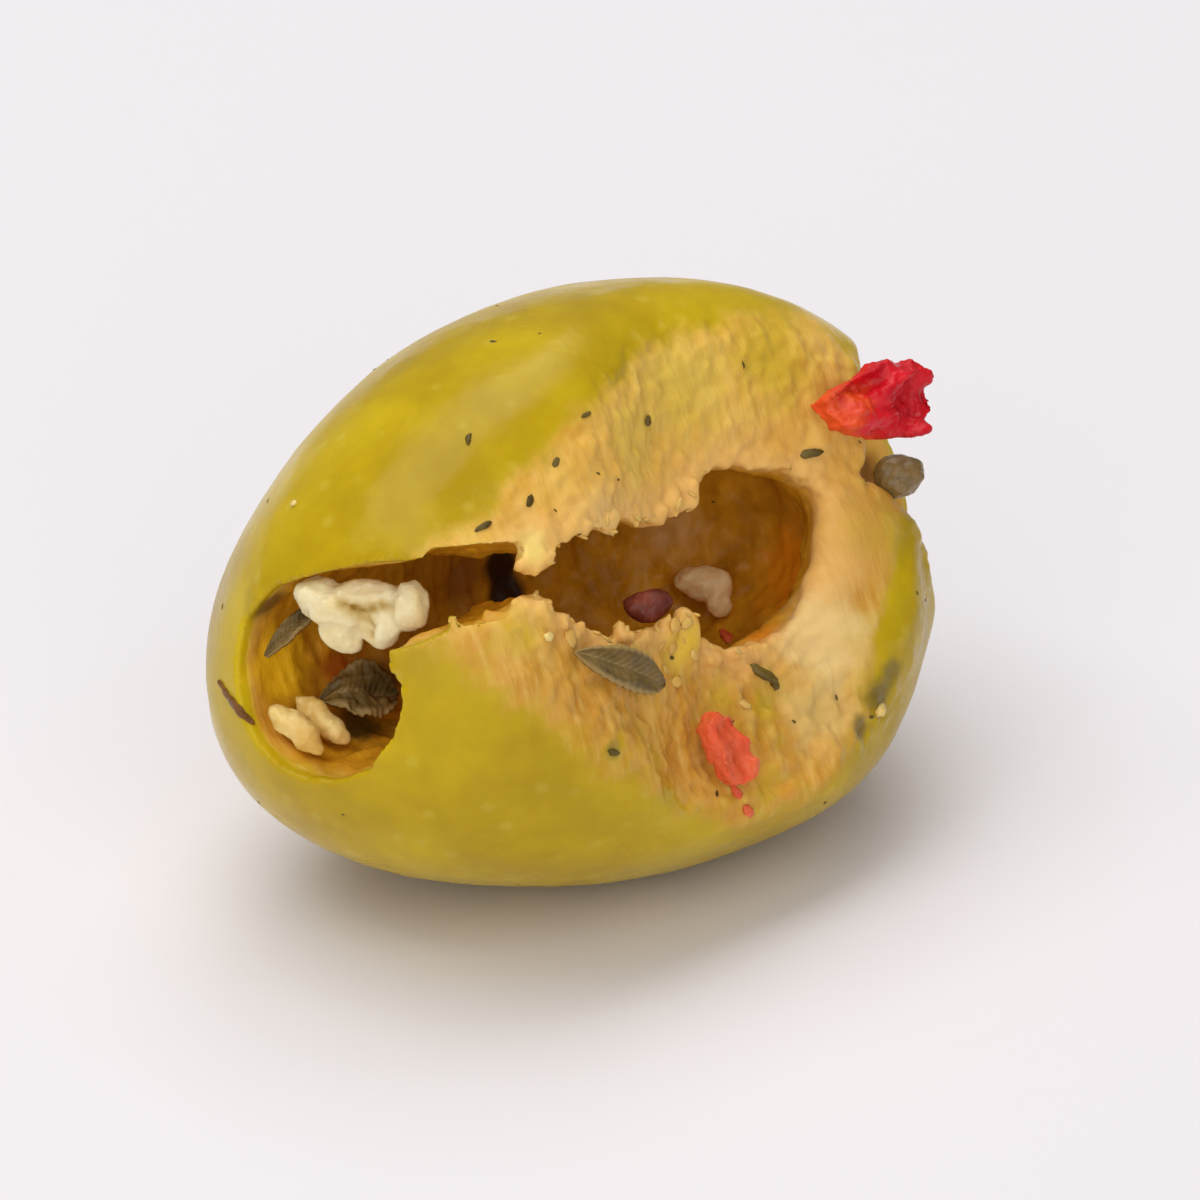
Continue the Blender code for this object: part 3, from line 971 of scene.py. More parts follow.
    def smooth_skin(self, mesh: bpy.types.Mesh, places: np.ndarray) -> np.ndarray:
        """Puts every point of the skin exactly on its curve, away from the flat spot.

        Args:
            mesh: gives the normals, which tell the skin from the torn edges next to it.
            places: the points as rows.

        Returns:
            The new places.
        """
        length = np.linalg.norm(places, axis=1)
        depth = self.skin_depth(places)
        outward = (mesh_normals(mesh) * places).sum(axis=1) / length
        reach = 0.06 + 0.3 * ease(0.75, 0.92, outward)
        near = 1 - ease(0.5, 1.0, np.abs(depth) / reach)
        near *= ease(0.0, 0.25, self.height(places))
        return places * (1 + near * depth / length)[:, None]

    def beyond_rim(self, places: np.ndarray) -> tuple[np.ndarray, np.ndarray]:
        """How far places lie outside the fruit with its rim rounded, and how near they are to the rim."""
        on_face, depth, below = self.depths(places)
        outside, above = -depth, -below
        wide = np.maximum(ease(1.0, 5.0, on_face[:, 1]), ease(4.0, 8.0, on_face[:, 0]))
        reach = self.rim_narrow + (self.rim_wide - self.rim_narrow) * wide
        overlap = np.maximum(reach - np.abs(outside - above), 0)
        return np.maximum(outside, above) + overlap ** 2 / (4 * reach), overlap / reach

    def near_rim(self, places: np.ndarray) -> np.ndarray:
        """1 on the rounded rim, falling to 0 on both sides of it and inside the fruit."""
        beyond, nearness = self.beyond_rim(places)
        return ease(0.1, 0.5, nearness) * ease(-0.3, 0.0, beyond)

    def notch_rim(self, places: np.ndarray) -> np.ndarray:
        """1 on the fruit's right end near the skin, where the solid draws the notch's rim in short steps."""
        at_tip = ease(8.0, 9.3, self.on_face(places)[:, 0])
        at_skin = 1 - ease(0.4, 1.0, np.abs(self.skin_depth(places)))
        return at_tip * at_skin * ease(1.0, 2.0, self.height(places))

    def round_rims(self, places: np.ndarray) -> np.ndarray:
        """Rounds the rim between the torn face and the skin, by steps towards the rounded fruit."""
        step = 0.02
        for _ in range(self.rim_steps):
            beyond, nearness = self.beyond_rim(places)
            slope = np.stack(
                [(self.beyond_rim(places + move)[0] - beyond) / step for move in np.eye(3) * step], axis=1
            )
            share = ease(0.0, 0.3, nearness) * np.maximum(beyond, 0) / (slope ** 2).sum(axis=1)
            places = places - slope * share[:, None]
        return places

    def tear(self, mesh: bpy.types.Mesh, places: np.ndarray) -> np.ndarray:
        """Roughens the flesh, swells the cheek and gives the skin its slow waves."""
        normals = mesh_normals(mesh)
        on_face, depth, below = self.depths(places)
        flesh = self.torn_share(mesh, places)
        hollow = ease(0.8, 2.0, np.minimum(below, depth))
        edge = np.exp(-((below - 0.2) / 0.7) ** 2) * ease(0.15, 1.0, depth)
        cheek = self.cheek(on_face)
        upper = ease(1.0, 3.0, on_face[:, 1])
        lumps = layered_noise(places / self.lump_size, seed=3)
        fibres = layered_noise(on_face * np.array(self.fibre_scale), seed=5, layers=2)
        crumbs = layered_noise(places / self.crumb_size, seed=8, layers=2)
        waves = layered_noise(places * np.array(self.wall_scale), seed=9, layers=3)
        slow = layered_noise(places / self.wave_size)
        rough = (self.flesh_lumps * lumps + self.flesh_crumbs * crumbs) * (1 - 0.8 * upper)
        rough += self.flesh_fibres * fibres * upper
        relief = flesh * (1 - hollow) * rough * (1 - 0.9 * cheek)
        relief += edge * self.edge_crumbs * crumbs * (1 - 0.8 * cheek) + hollow * self.wall_waves * waves
        relief += self.cheek_rise * cheek * np.exp(-(below / 0.9) ** 2)
        relief += self.skin_waves * (1 - flesh) * ease(0.3, 1.5, self.height(places)) * slow
        return places + normals * relief[:, None]

    def mark(self, mesh: bpy.types.Mesh, places: np.ndarray) -> None:
        """Stores what the finish and the scatter read."""
        on_face, depth, below = self.depths(places)
        along, across, _ = on_face.T
        inside = np.minimum(depth, below)
        torn = self.torn_share(mesh, places)
        hollow = ease(0.3, 1.2, inside)
        cheek = self.cheek(on_face)
        high = ease(0.5, 2.5, self.height(places))
        outline = outline_depth(on_face[:, :2], MOUTH_OUTLINE)
        mouth_edge = ease(-0.55, -0.1, outline) * (1 - ease(0.3, 0.8, below)) * ease(0.5, 1.2, depth)
        in_notch = ease(8.2, 9.4, along)
        lower_left = (1 - ease(-1.0, 1.0, across)) * (1 - ease(-1.0, 3.0, along))
        values = {
            # band along the mouth's edge for the cream colour and its painted highlight
            "cream_highlight_share": ease(-1.8, -0.3, outline) * (1 - ease(0.4, 1.0, below)) * torn,
            "torn": torn,
            "wall_depth": inside * (1 - 0.75 * in_notch),
            "face_place": on_face,
            "crumb_share": torn ** 2 * (1 - hollow) * lower_left * ease(-2.5, -0.3, outline),
            "fibre_share": mouth_edge * (1 - ease(1.0, 4.0, along)),
            "herb_share": high * (0.35 + 0.65 * torn * (1 - cheek)) * (1 - 0.7 * hollow),
        }
        for name, value in values.items():
            store(mesh, name, value)


def scatter_tree() -> bpy.types.NodeTree:
    """Strews pebbles over a surface, more where one of its attributes is high.

    Returns:
        The tree. Its sizes are in millimetres, and it puts out the pebbles alone.
    """
    sizes = ("Density", "Gap", "Smallest", "Largest", "Length", "Flatness", "Tilt")
    takes = {"Geometry": "Geometry", "Where": "String"}
    takes |= {size: "Float" for size in sizes}
    takes |= {"Seed": "Int", "Finish": "Material"}
    tree = new_group("strewn pebbles", "Geometry", takes, {"Geometry": "Geometry"})
    wiring = Wiring(tree)
    given = wiring.add("NodeGroupInput").outputs
    share = wiring.add("GeometryNodeInputNamedAttribute", {"Name": given["Where"]}, data_type="FLOAT")
    spread = wiring.add(
        "GeometryNodeDistributePointsOnFaces",
        {
            "Mesh": given["Geometry"],
            "Distance Min": given["Gap"],
            "Density Max": given["Density"],
            "Density Factor": share.outputs["Attribute"],
            "Seed": given["Seed"],
        },
        distribute_method="POISSON",
    )
    ball = wiring.add("GeometryNodeMeshUVSphere", {"Segments": 8, "Rings": 5, "Radius": 1.0})
    dents = wiring.add("ShaderNodeTexNoise", {"Scale": 0.9, "Detail": 1.0})
    middle = {0: dents.outputs["Color"], 1: (0.5, 0.5, 0.5)}
    lean = wiring.add("ShaderNodeVectorMath", middle, operation="SUBTRACT")
    dented = {"Geometry": ball.outputs["Mesh"], "Offset": lean.outputs[0]}
    pebble = wiring.add("GeometryNodeSetPosition", dented)
    back = wiring.maths("MULTIPLY", given["Tilt"], -1.0)
    low = wiring.add("ShaderNodeCombineXYZ", {"X": back, "Y": back, "Z": 0.0})
    high = wiring.add("ShaderNodeCombineXYZ", {"X": given["Tilt"], "Y": given["Tilt"], "Z": math.tau})
    turn = wiring.add(
        "FunctionNodeRandomValue",
        {0: low.outputs[0], 1: high.outputs[0], "Seed": given["Seed"]},
        data_type="FLOAT_VECTOR",
    )
    turned = wiring.add(
        "FunctionNodeRotateRotation",
        {
            "Rotation": spread.outputs["Rotation"],
            "Rotate By": wiring.add("FunctionNodeEulerToRotation", {"Euler": turn.outputs[0]}).outputs[0],
        },
        rotation_space="LOCAL",
    )
    size = wiring.add(
        "FunctionNodeRandomValue",
        {2: given["Smallest"], 3: given["Largest"], "Seed": given["Seed"]},
        data_type="FLOAT",
    )
    shape = wiring.add("ShaderNodeCombineXYZ", {"X": given["Length"], "Y": 1.0, "Z": given["Flatness"]})
    sized = {0: shape.outputs[0], "Scale": size.outputs[1]}
    scale = wiring.add("ShaderNodeVectorMath", sized, operation="SCALE")
    copies = wiring.add(
        "GeometryNodeInstanceOnPoints",
        {
            "Points": spread.outputs["Points"],
            "Instance": pebble.outputs["Geometry"],
            "Rotation": turned.outputs["Rotation"],
            "Scale": scale.outputs[0],
        },
    )
    real = wiring.add("GeometryNodeRealizeInstances", {"Geometry": copies.outputs["Instances"]})
    finished = wiring.add(
        "GeometryNodeSetMaterial", {"Geometry": real.outputs["Geometry"], "Material": given["Finish"]}
    )
    wiring.add("NodeGroupOutput", {"Geometry": finished.outputs["Geometry"]})
    return tree


@dataclass(frozen=True)
class Scatter:
    """Small bits strewn over the fruit: their sizes in millimetres, and how many to a square millimetre."""

    name: str
    slot: Slot
    where: str
    density: float
    gap: float
    smallest: float
    largest: float
    length: float
    flatness: float
    tilt: float
    seed: int

    def build(self, tree: bpy.types.NodeTree, ground: bpy.types.Mesh, finish: bpy.types.Material) -> None:
        """Strews the bits and settles them as one piece.

        Args:
            tree: the scatter tree.
            ground: the fruit's mesh in millimetres, with its attributes.
            finish: the bits' material.
        """
        item = linked(self.name, ground.copy())
        step = item.modifiers.new("scatter", "NODES")
        step.node_group = tree
        values = {field.name.capitalize(): getattr(self, field.name) for field in fields(self)}
        values["Finish"] = finish
        for socket in tree.interface.items_tree:
            if socket.in_out == "INPUT" and socket.name in values:
                step[socket.identifier] = values[socket.name]
        mesh = applied(item)
        mesh.attributes.new("tone", "FLOAT", "POINT")
        settle(self.name, mesh)


@dataclass(frozen=True)
class Dent:
    """A hollow pressed into a morsel, at a place to the right, up and towards the viewer from its middle."""

    middle: Place
    depth: float
    width: float


@dataclass(frozen=True)
class Morsel:
    """A piece of the marinade: its CAD solid with a finer surface, or lobes grown together in its place."""

    node: str
    slot: Slot
    voxel: float = 0.07
    lumps: float = 0.08
    lump_size: float = 0.6
    grain: float = 0.02
    grain_size: float = 0.12
    rounds: int = 4
    lobes: tuple[Lobe, ...] = ()
    dents: tuple[Dent, ...] = ()
    tail: float = 0.0

    def build(self, finish: bpy.types.Material) -> None:
        """Builds the piece.

        Args:
            finish: its material.
        """
        middle = node_middle(self.node)
        axes = Matrix((*picture_axes(), to_viewer())).transposed()
        shapes = [
            lobe.shape(middle + axes @ Vector(lobe.middle), picture_way(lobe.turn), to_viewer())
            for lobe in self.lobes
        ]
        mesh = remeshed(joined(shapes or [node_shape(self.node)], self.node), self.voxel)
        places = mesh_places(mesh)
        places = relaxed(mesh, places, np.full(len(places), RELAX), self.rounds)
        set_places(mesh, places)
        dent_share = np.zeros(len(places))
        relief = self.lumps * layered_noise(places / self.lump_size, seed=11)
        relief += self.grain * soft_noise(places / self.grain_size, seed=12)
        for dent in self.dents:
            place = np.array(middle + axes @ Vector(dent.middle))
            share = np.exp(-(np.linalg.norm(places - place, axis=1) / dent.width) ** 2)
            dent_share = np.maximum(dent_share, share)
            relief -= dent.depth * share
        set_places(mesh, places + mesh_normals(mesh) * relief[:, None])
        tone = dent_share
        if self.tail:
            across = picture_places(places)[:, 0]
            across = (across - across.mean()) / np.ptp(across) + 0.25 * layered_noise(places / 0.8, seed=13)
            tone = ease(self.tail, self.tail - 0.35, across)
        store(mesh, "tone", tone)
        settle(self.node + "_fine", mesh, (self.node,)).data.materials.append(finish)


def blade(
    name: str, rows: np.ndarray, thickness: np.ndarray, up: np.ndarray, tone: np.ndarray
) -> bpy.types.Mesh:
    """A closed thin blade round a sheet of points.

    Args:
        name: the mesh's name.
        rows: the sheet's points, as rows of columns.
        thickness: how thick the blade is at each of them.
        up: the way that its upper face looks.
        tone: what its finish reads at each of them.

    Returns:
        The mesh.
    """
    lift = up * thickness[..., None] / 2
    points = np.concatenate([(rows + lift).reshape(-1, 3), (rows - lift).reshape(-1, 3)])
    height, width = rows.shape[:2]
    grid = np.arange(height * width).reshape(height, width)
    top = np.stack([grid[:-1, :-1], grid[1:, :-1], grid[1:, 1:], grid[:-1, 1:]], axis=-1).reshape(-1, 4)
    rim = np.concatenate([grid[0, :-1], grid[:-1, -1], grid[-1, :0:-1], grid[:0:-1, 0]])
    following = np.roll(rim, -1)
    under = height * width
    side = np.stack([rim, following, following + under, rim + under], axis=1)
    faces = np.concatenate([top, top[:, ::-1] + under, side])
    mesh = bpy.data.meshes.new(name)
    mesh.from_pydata(points.tolist(), [], faces.tolist())
    shape = bmesh.new()
    shape.from_mesh(mesh)
    bmesh.ops.recalc_face_normals(shape, faces=shape.faces)
    shape.to_mesh(mesh)
    shape.free()
    store(mesh, "tone", np.concatenate([tone.ravel(), tone.ravel()]))
    return mesh


@dataclass(frozen=True)
class Leaf:
    """A small dried leaf with a midrib, side veins and rolled edges, in the place of its CAD solid."""

    node: str
    width: float = 0.8
    fold: float = 0.35
    roll: float = 0.2
    droop: float = 0.3
    crumple: float = 0.1
    thickness: float = 0.26
    veins: int = 7
    vein_slant: float = 2.2
    vein_height: float = 0.05
    rib_width: float = 0.09
    rib_height: float = 0.10
    tooth_waves: float = 40
    tooth_height: float = 0.04
    columns: int = 57
    rows: int = 29
    seed: int = 1

    def build(self, finish: bpy.types.Material) -> None:
        """Builds the leaf along its solid's own length and width.

        Args:
            finish: its material.
        """
        shape = node_shape(self.node)
        corners = np.array([vertex.co[:] for vertex in shape.verts])
        shape.free()
        middle = corners.mean(axis=0)
        ways = np.linalg.svd(corners - middle, full_matrices=False)[2]
        first = ways[0] if ways[0] @ np.array(picture_axes()[0]) > 0 else -ways[0]
        third = ways[2] if ways[2] @ np.array(to_viewer()) > 0 else -ways[2]
        second = np.cross(third, first)
        half_length = np.ptp((corners - middle) @ first) / 2
        half_width = np.ptp((corners - middle) @ second) / 2 * self.width
        grid = (np.linspace(-1, 1, count) for count in (self.columns, self.rows))
        s, t = np.meshgrid(*grid, indexing="ij")
        body = (1 - s ** 2) ** 0.7 * (1 + 0.18 * s)
        teeth = 1 + self.tooth_height * np.sin(s * self.tooth_waves + self.seed)
        width = half_width * np.maximum(body * teeth, 0.03)
        flat = np.stack([s, t, np.full_like(s, self.seed * 5.3)], axis=-1).reshape(-1, 3)
        crease = layered_noise(flat * np.array([3.0, 2.0, 1.0]), seed=self.seed, layers=2).reshape(s.shape)
        vein = np.cos((s * self.veins - np.abs(t) * self.vein_slant) * math.pi) ** 8 * (1 - np.abs(t))
        rib = np.exp(-(t / self.rib_width) ** 2)
        lift = self.fold * np.abs(t) ** 1.3 * body - self.roll * np.abs(t) ** 5 - self.droop * s ** 2
        lift += self.crumple * crease + (self.vein_height * vein - self.rib_height * rib) * body
        rows = middle + first * (s * half_length)[..., None] + second * (t * width)[..., None]
        rows = rows + third * lift[..., None]
        thickness = self.thickness * (1 - 0.5 * t ** 4) * (1 - 0.5 * s ** 6)
        tone = np.clip(0.75 * ease(0.7, 1.0, np.abs(t)) + 0.55 * rib + 0.35 * vein, 0, 1)
        mesh = blade(self.node, rows, thickness, third, tone)
        settle(self.node + "_fine", mesh, (self.node,)).data.materials.append(finish)


@dataclass(frozen=True)
class Specks:
    """Bits too small for a solid of their own, in one piece.

    The middle of a lobe is its place in the picture and how far it stands off the surface there.
    """

    name: str
    slot: Slot
    uneven: float
    lobes: tuple[Lobe, ...]

    def build(self, sight: Sight, finish: bpy.types.Material) -> None:
        """Sets the bits on the fruit.

        Args:
            sight: finds their places.
            finish: their material.
        """
        shapes = []
        for number, lobe in enumerate(self.lobes):
            point, normal = sight.land(lobe.middle[:2])
            centre = point + normal * lobe.middle[2]
            uneven = replace(lobe, uneven=self.uneven, seed=2 * number + 1)
            shapes.append(uneven.shape(centre, sight.way_on(lobe.turn, normal), normal))
        mesh = joined(shapes, self.name)
        mesh.attributes.new("tone", "FLOAT", "POINT")
        settle(self.name, mesh).data.materials.append(finish)


@dataclass(frozen=True)
class SoftLight:
    """A lamp that faces the olive: its place, width and depth in metres, and its power in watts."""

    name: str
    place: Place
    width: float
    depth: float
    power: float

    def build(self, aim: Place) -> None:
        """Hangs the lamp, turned to the place that it aims at."""
        data = bpy.data.lights.new(self.name, "AREA")
        data.shape = "RECTANGLE"
        data.size = self.width
        data.size_y = self.depth
        data.energy = self.power
        light = linked(self.name, data)
        light.location = self.place
        light.rotation_euler = (Vector(aim) - Vector(self.place)).to_track_quat("-Z", "Y").to_euler()


@dataclass
class Studio:
    """A plain pale floor, soft light and the camera at the picture's angle."""

    distance: float = 0.40
    frame_width: float = 0.0445
    aim: Place = (0.0004, 0.0, 0.0098)
    sensor: float = 36.0
    nearest: float = 0.01
    room: float = 0.22
    room_colour: Colour = (1.0, 0.98, 0.97)
    floor_half: float = 2.0
    floor_colour: Colour = (0.83, 0.80, 0.825)
    floor_roughness: float = 0.8
    lights: tuple[SoftLight, ...] = (
        SoftLight("key_light", (-0.03, 0.14, 0.49), 0.75, 0.38, 2.3),
        SoftLight("fill_light", (-0.32, -0.45, 0.38), 0.9, 0.9, 3.3),
    )

    def build(self) -> None:
        """Makes the floor, the lights, the room and the camera."""
        self.floor()
        for light in self.lights:
            light.build(self.aim)
        world = bpy.data.worlds.new("pale_room")
        world.use_nodes = True
        back = world.node_tree.nodes["Background"]
        back.inputs["Color"].default_value = (*self.room_colour, 1.0)
        back.inputs["Strength"].default_value = self.room
        bpy.context.scene.world = world
        bpy.context.scene.view_settings.view_transform = "Standard"
        self.camera()

    def floor(self) -> None:
        """A wide pale sheet under the olive."""
        shape = bmesh.new()
        bmesh.ops.create_grid(shape, x_segments=1, y_segments=1, size=self.floor_half)
        floor = linked("floor", to_mesh(shape, "floor"))
        material = bpy.data.materials.new("pale_floor")
        material.use_nodes = True
        shader = material.node_tree.nodes["Principled BSDF"]
        shader.inputs["Base Color"].default_value = (*self.floor_colour, 1.0)
        shader.inputs["Roughness"].default_value = self.floor_roughness
        floor.data.materials.append(material)

    def camera(self) -> None:
        """The camera, looking at the olive from the picture's side and height."""
        data = bpy.data.cameras.new("camera")
        data.sensor_width = self.sensor
        data.lens = self.sensor * self.distance / self.frame_width
        data.clip_start = self.nearest
        camera = linked("camera", data)
        camera.location = Vector(self.aim) + to_viewer() * self.distance
        camera.rotation_euler = (-to_viewer()).to_track_quat("-Z", "Y").to_euler()
        bpy.context.scene.camera = camera


# Outlines and spots of colour, in millimetres on the picture's plane or on the torn face; some spots are
# painted shade
TEAR_OUTLINE = (
    (-6.7, 1.3), (-4.6, 2.1), (-3.1, 3.4), (-1.5, 5.1), (-0.2, 6.5), (1.3, 8.0), (3.2, 9.2),
    (5.4, 10.0), (8.2, 10.3), (9.9, 8.8), (11.4, 6.0), (11.2, 2.4), (10.4, 0.6), (10.2, -1.6),
    (10.3, -3.6), (9.8, -5.4), (8.8, -7.2), (6.9, -8.6), (5.4, -9.4), (3.5, -8.3), (1.7, -7.2),
    (-0.2, -6.1), (-2.0, -4.8), (-3.5, -3.5), (-5.0, -2.6), (-6.7, -2.1),
)
MOUTH_OUTLINE = (
    (-8.2, 1.8), (-7.9, 2.9), (-6.4, 2.6), (-3.7, 2.7), (-0.2, 2.1), (1.6, 2.7), (2.9, 3.1), (4.9, 2.8),
    (6.9, 1.8), (7.5, 0.2), (6.9, -1.4), (5.2, -2.8), (2.8, -3.6), (1.2, -3.3), (-0.4, -2.3),
    (-2.2, -1.5), (-4.2, -1.3), (-5.8, -0.7), (-7.0, 0.3),
)
COLOUR_AND_SHADE_PATCHES = (
    Patch((7.7, 0.6), 2.5, (0.97, 0.36, 0.012), 0.95),
    Patch((6.3, -1.8), 1.4, (0.80, 0.24, 0.01), 0.8, 0.9),
    Patch((8.3, -4.4), 2.6, (0.72, 0.49, 0.16), 0.75),
    Patch((8.6, -1.9), 2.5, (0.80, 0.56, 0.22), 0.9, 0.7, 0.9),
    # painted shade: darkens the notch at the fruit's right end where shade falls
    Patch((10.2, 4.2), 1.3, (0.22, 0.09, 0.012), 0.9),
    Patch((10.6, -4.1), 1.0, (0.17, 0.115, 0.02), 0.85),
    Patch((11.1, -3.2), 0.8, (0.20, 0.14, 0.02), 0.8),
    Patch((9.9, -5.3), 0.7, (0.17, 0.115, 0.02), 0.8),
    Patch((3.4, -2.3), 1.3, (0.70, 0.46, 0.03), 0.8),
    Patch((2.8, 2.4), 1.8, (0.78, 0.46, 0.17), 0.5),
    Patch((0.4, 2.6), 1.5, (0.80, 0.52, 0.17), 0.5),
    Patch((-2.2, 1.4), 1.0, (0.84, 0.64, 0.18), 0.8),
    Patch((7.0, 5.4), 1.4, (0.70, 0.36, 0.06), 0.6),
    Patch((9.2, 4.3), 1.3, (0.68, 0.36, 0.06), 0.5),
    Patch((6.6, 8.6), 3.2, (0.60, 0.40, 0.02), 0.8, 0.9),
    Patch((3.2, 7.2), 3.0, (0.66, 0.48, 0.06), 0.6, 0.9),
    Patch((1.5, 5.6), 2.2, (0.70, 0.50, 0.07), 0.5),
    Patch((9.9, 2.2), 1.9, (0.62, 0.36, 0.05), 0.7, 0.9),
    Patch((-4.8, 0.2), 1.6, (0.34, 0.11, 0.015), 0.8),
    # painted shade: near-black spots for the dark gap in the slit
    Patch((-3.4, 0.7), 1.1, (0.03, 0.01, 0.004), 0.97, 0.5, 0.4),
    Patch((-3.2, -0.3), 1.1, (0.03, 0.01, 0.004), 0.97, 0.5, 0.4),
    Patch((-11.4, -2.9), 2.0, (0.90, 0.52, 0.012), 0.9),
    Patch((-9.2, -3.1), 1.3, (0.62, 0.12, 0.008), 0.75, 0.9, 1.2),
    Patch((-11.7, -0.7), 1.1, (0.10, 0.04, 0.015), 0.8),
    # painted shade: the deep shadow beside the garlic slivers, under the skin's edge in the hole
    Patch((-8.4, -5.2), 1.4, (0.07, 0.045, 0.012), 0.85),
    Patch((-7.6, -3.4), 1.0, (0.07, 0.045, 0.012), 0.8),
    Patch((0.8, -6.0), 0.5, (0.30, 0.22, 0.03), 0.7),
    Patch((-1.2, -4.3), 1.0, (0.66, 0.36, 0.08), 0.5),
    Patch((7.3, -7.5), 0.6, (0.70, 0.30, 0.03), 0.7),
)
# Flesh torn along the mouth
TORN_LOBES = (
    (Lobe((-2.0, 1.35, 0), (0.75, 0.85, 0.6), uneven=0.5), (-0.1, 1.5, 0.35)),
    (Lobe((-2.35, 0.75, 0), (0.45, 0.5, 0.45), uneven=0.5), (-0.1, 2.1, 0.5)),
    (Lobe((-1.75, -0.95, 0), (0.55, 0.75, 0.5), uneven=0.5), (0.0, -0.9, 0.3)),
    (Lobe((-0.4, -1.6, 0), (0.35, 0.55, 0.4), uneven=0.5), (0.0, -0.7, 0.2)),
    (Lobe((3.35, -2.2, 0), (0.7, 1.35, 0.45), turn=-12, uneven=0.4), (0.1, -1.6, 0.3)),
    (Lobe((2.7, -1.9, 0), (0.35, 0.9, 0.35), turn=-8, uneven=0.4), (0.1, -1.4, 0.3)),
)
TEETH = (
    Teeth(
        (
            (-0.9, 1.85, 0.4), (-0.2, 2.05, 0.35), (0.7, 2.2, 0.42), (1.6, 2.35, 0.4), (2.4, 2.6, 0.45),
            (3.0, 2.95, 0.5), (3.55, 3.3, 0.5), (-3.4, 2.3, 0.35),
        ),
        rise=0.4, sunk=0.8, back=0.15, half=(0.8, 1.25, 0.8), uneven=0.5, first_seed=40,
    ),
    Teeth(
        (
            (-2.5, -0.6, 0.35), (-1.1, -1.3, 0.4), (0.3, -1.9, 0.35), (1.1, -1.75, 0.4), (1.9, -1.75, 0.35),
            (4.3, -2.6, 0.4), (5.2, -2.4, 0.3), (-3.7, -0.9, 0.3), (-5.0, -1.2, 0.25),
        ),
        rise=-0.4, sunk=0.7, back=0.1, half=(1.0, 0.9, 0.8), uneven=0.6, first_seed=60,
    ),
)

# Finishes
GARLIC = MorselFinish(
    "garlic_cream", (0.86, 0.76, 0.48), (0.78, 0.63, 0.31), (0.50, 0.30, 0.03),
    gloss=Gloss(0.3, 0.6, (1, 0.8, 0.5), coat=0.1),
)
TAN_GARLIC = MorselFinish(
    "garlic_tan", (0.88, 0.66, 0.26), (0.70, 0.44, 0.10),
    gloss=Gloss(0.3, 0.8, (1, 0.8, 0.5), coat=0.1),
)
PINK_GARLIC = MorselFinish(
    "garlic_pink", (0.96, 0.72, 0.38), (0.90, 0.60, 0.28),
    gloss=Gloss(0.4, 1.0, (1, 0.6, 0.4), coat=0.15),
)
GLASSY = MorselFinish(
    "garlic_glassy", (0.26, 0.17, 0.055), (0.12, 0.075, 0.02), gloss=Gloss(0.5, 1.0, coat=0.2)
)
PEPPER = MorselFinish(
    "pepper_red", (0.50, 0.004, 0.012), (0.70, 0.012, 0.02), (0.74, 0.08, 0.015),
    gloss=Gloss(0.15, 0.4, (1, 0.3, 0.2), shine=0.3, coat=0.05),
)
PEPPER_ORANGE = MorselFinish(
    "pepper_orange", (0.78, 0.17, 0.06), (0.72, 0.09, 0.03),
    gloss=Gloss(0.2, 0.5, (1, 0.4, 0.2), shine=0.3),
)
ONION = MorselFinish(
    "onion_purple", (0.34, 0.085, 0.045), (0.12, 0.022, 0.014), gloss=Gloss(0.2, 0.5, shine=0.3)
)
HERB = MorselFinish(
    "herb_green", (0.20, 0.125, 0.035), (0.085, 0.055, 0.014), (0.42, 0.29, 0.11),
    dry=0.6, gloss=Gloss(shine=0.3),
)
CRUMB = MorselFinish(
    "flesh_crumb", (0.80, 0.48, 0.13), (0.72, 0.40, 0.09), gloss=Gloss(0.3, 0.8, shine=0.2)
)
SPECK = MorselFinish("herb_speck", (0.15, 0.10, 0.015), (0.08, 0.05, 0.008), gloss=Gloss(shine=0.3))
HUSK = MorselFinish("husk_brown", (0.24, 0.10, 0.02), (0.12, 0.05, 0.01), gloss=Gloss(shine=0.3))
FINISHES = (GARLIC, TAN_GARLIC, PINK_GARLIC, GLASSY, PEPPER, PEPPER_ORANGE, ONION, HERB, CRUMB, SPECK, HUSK)

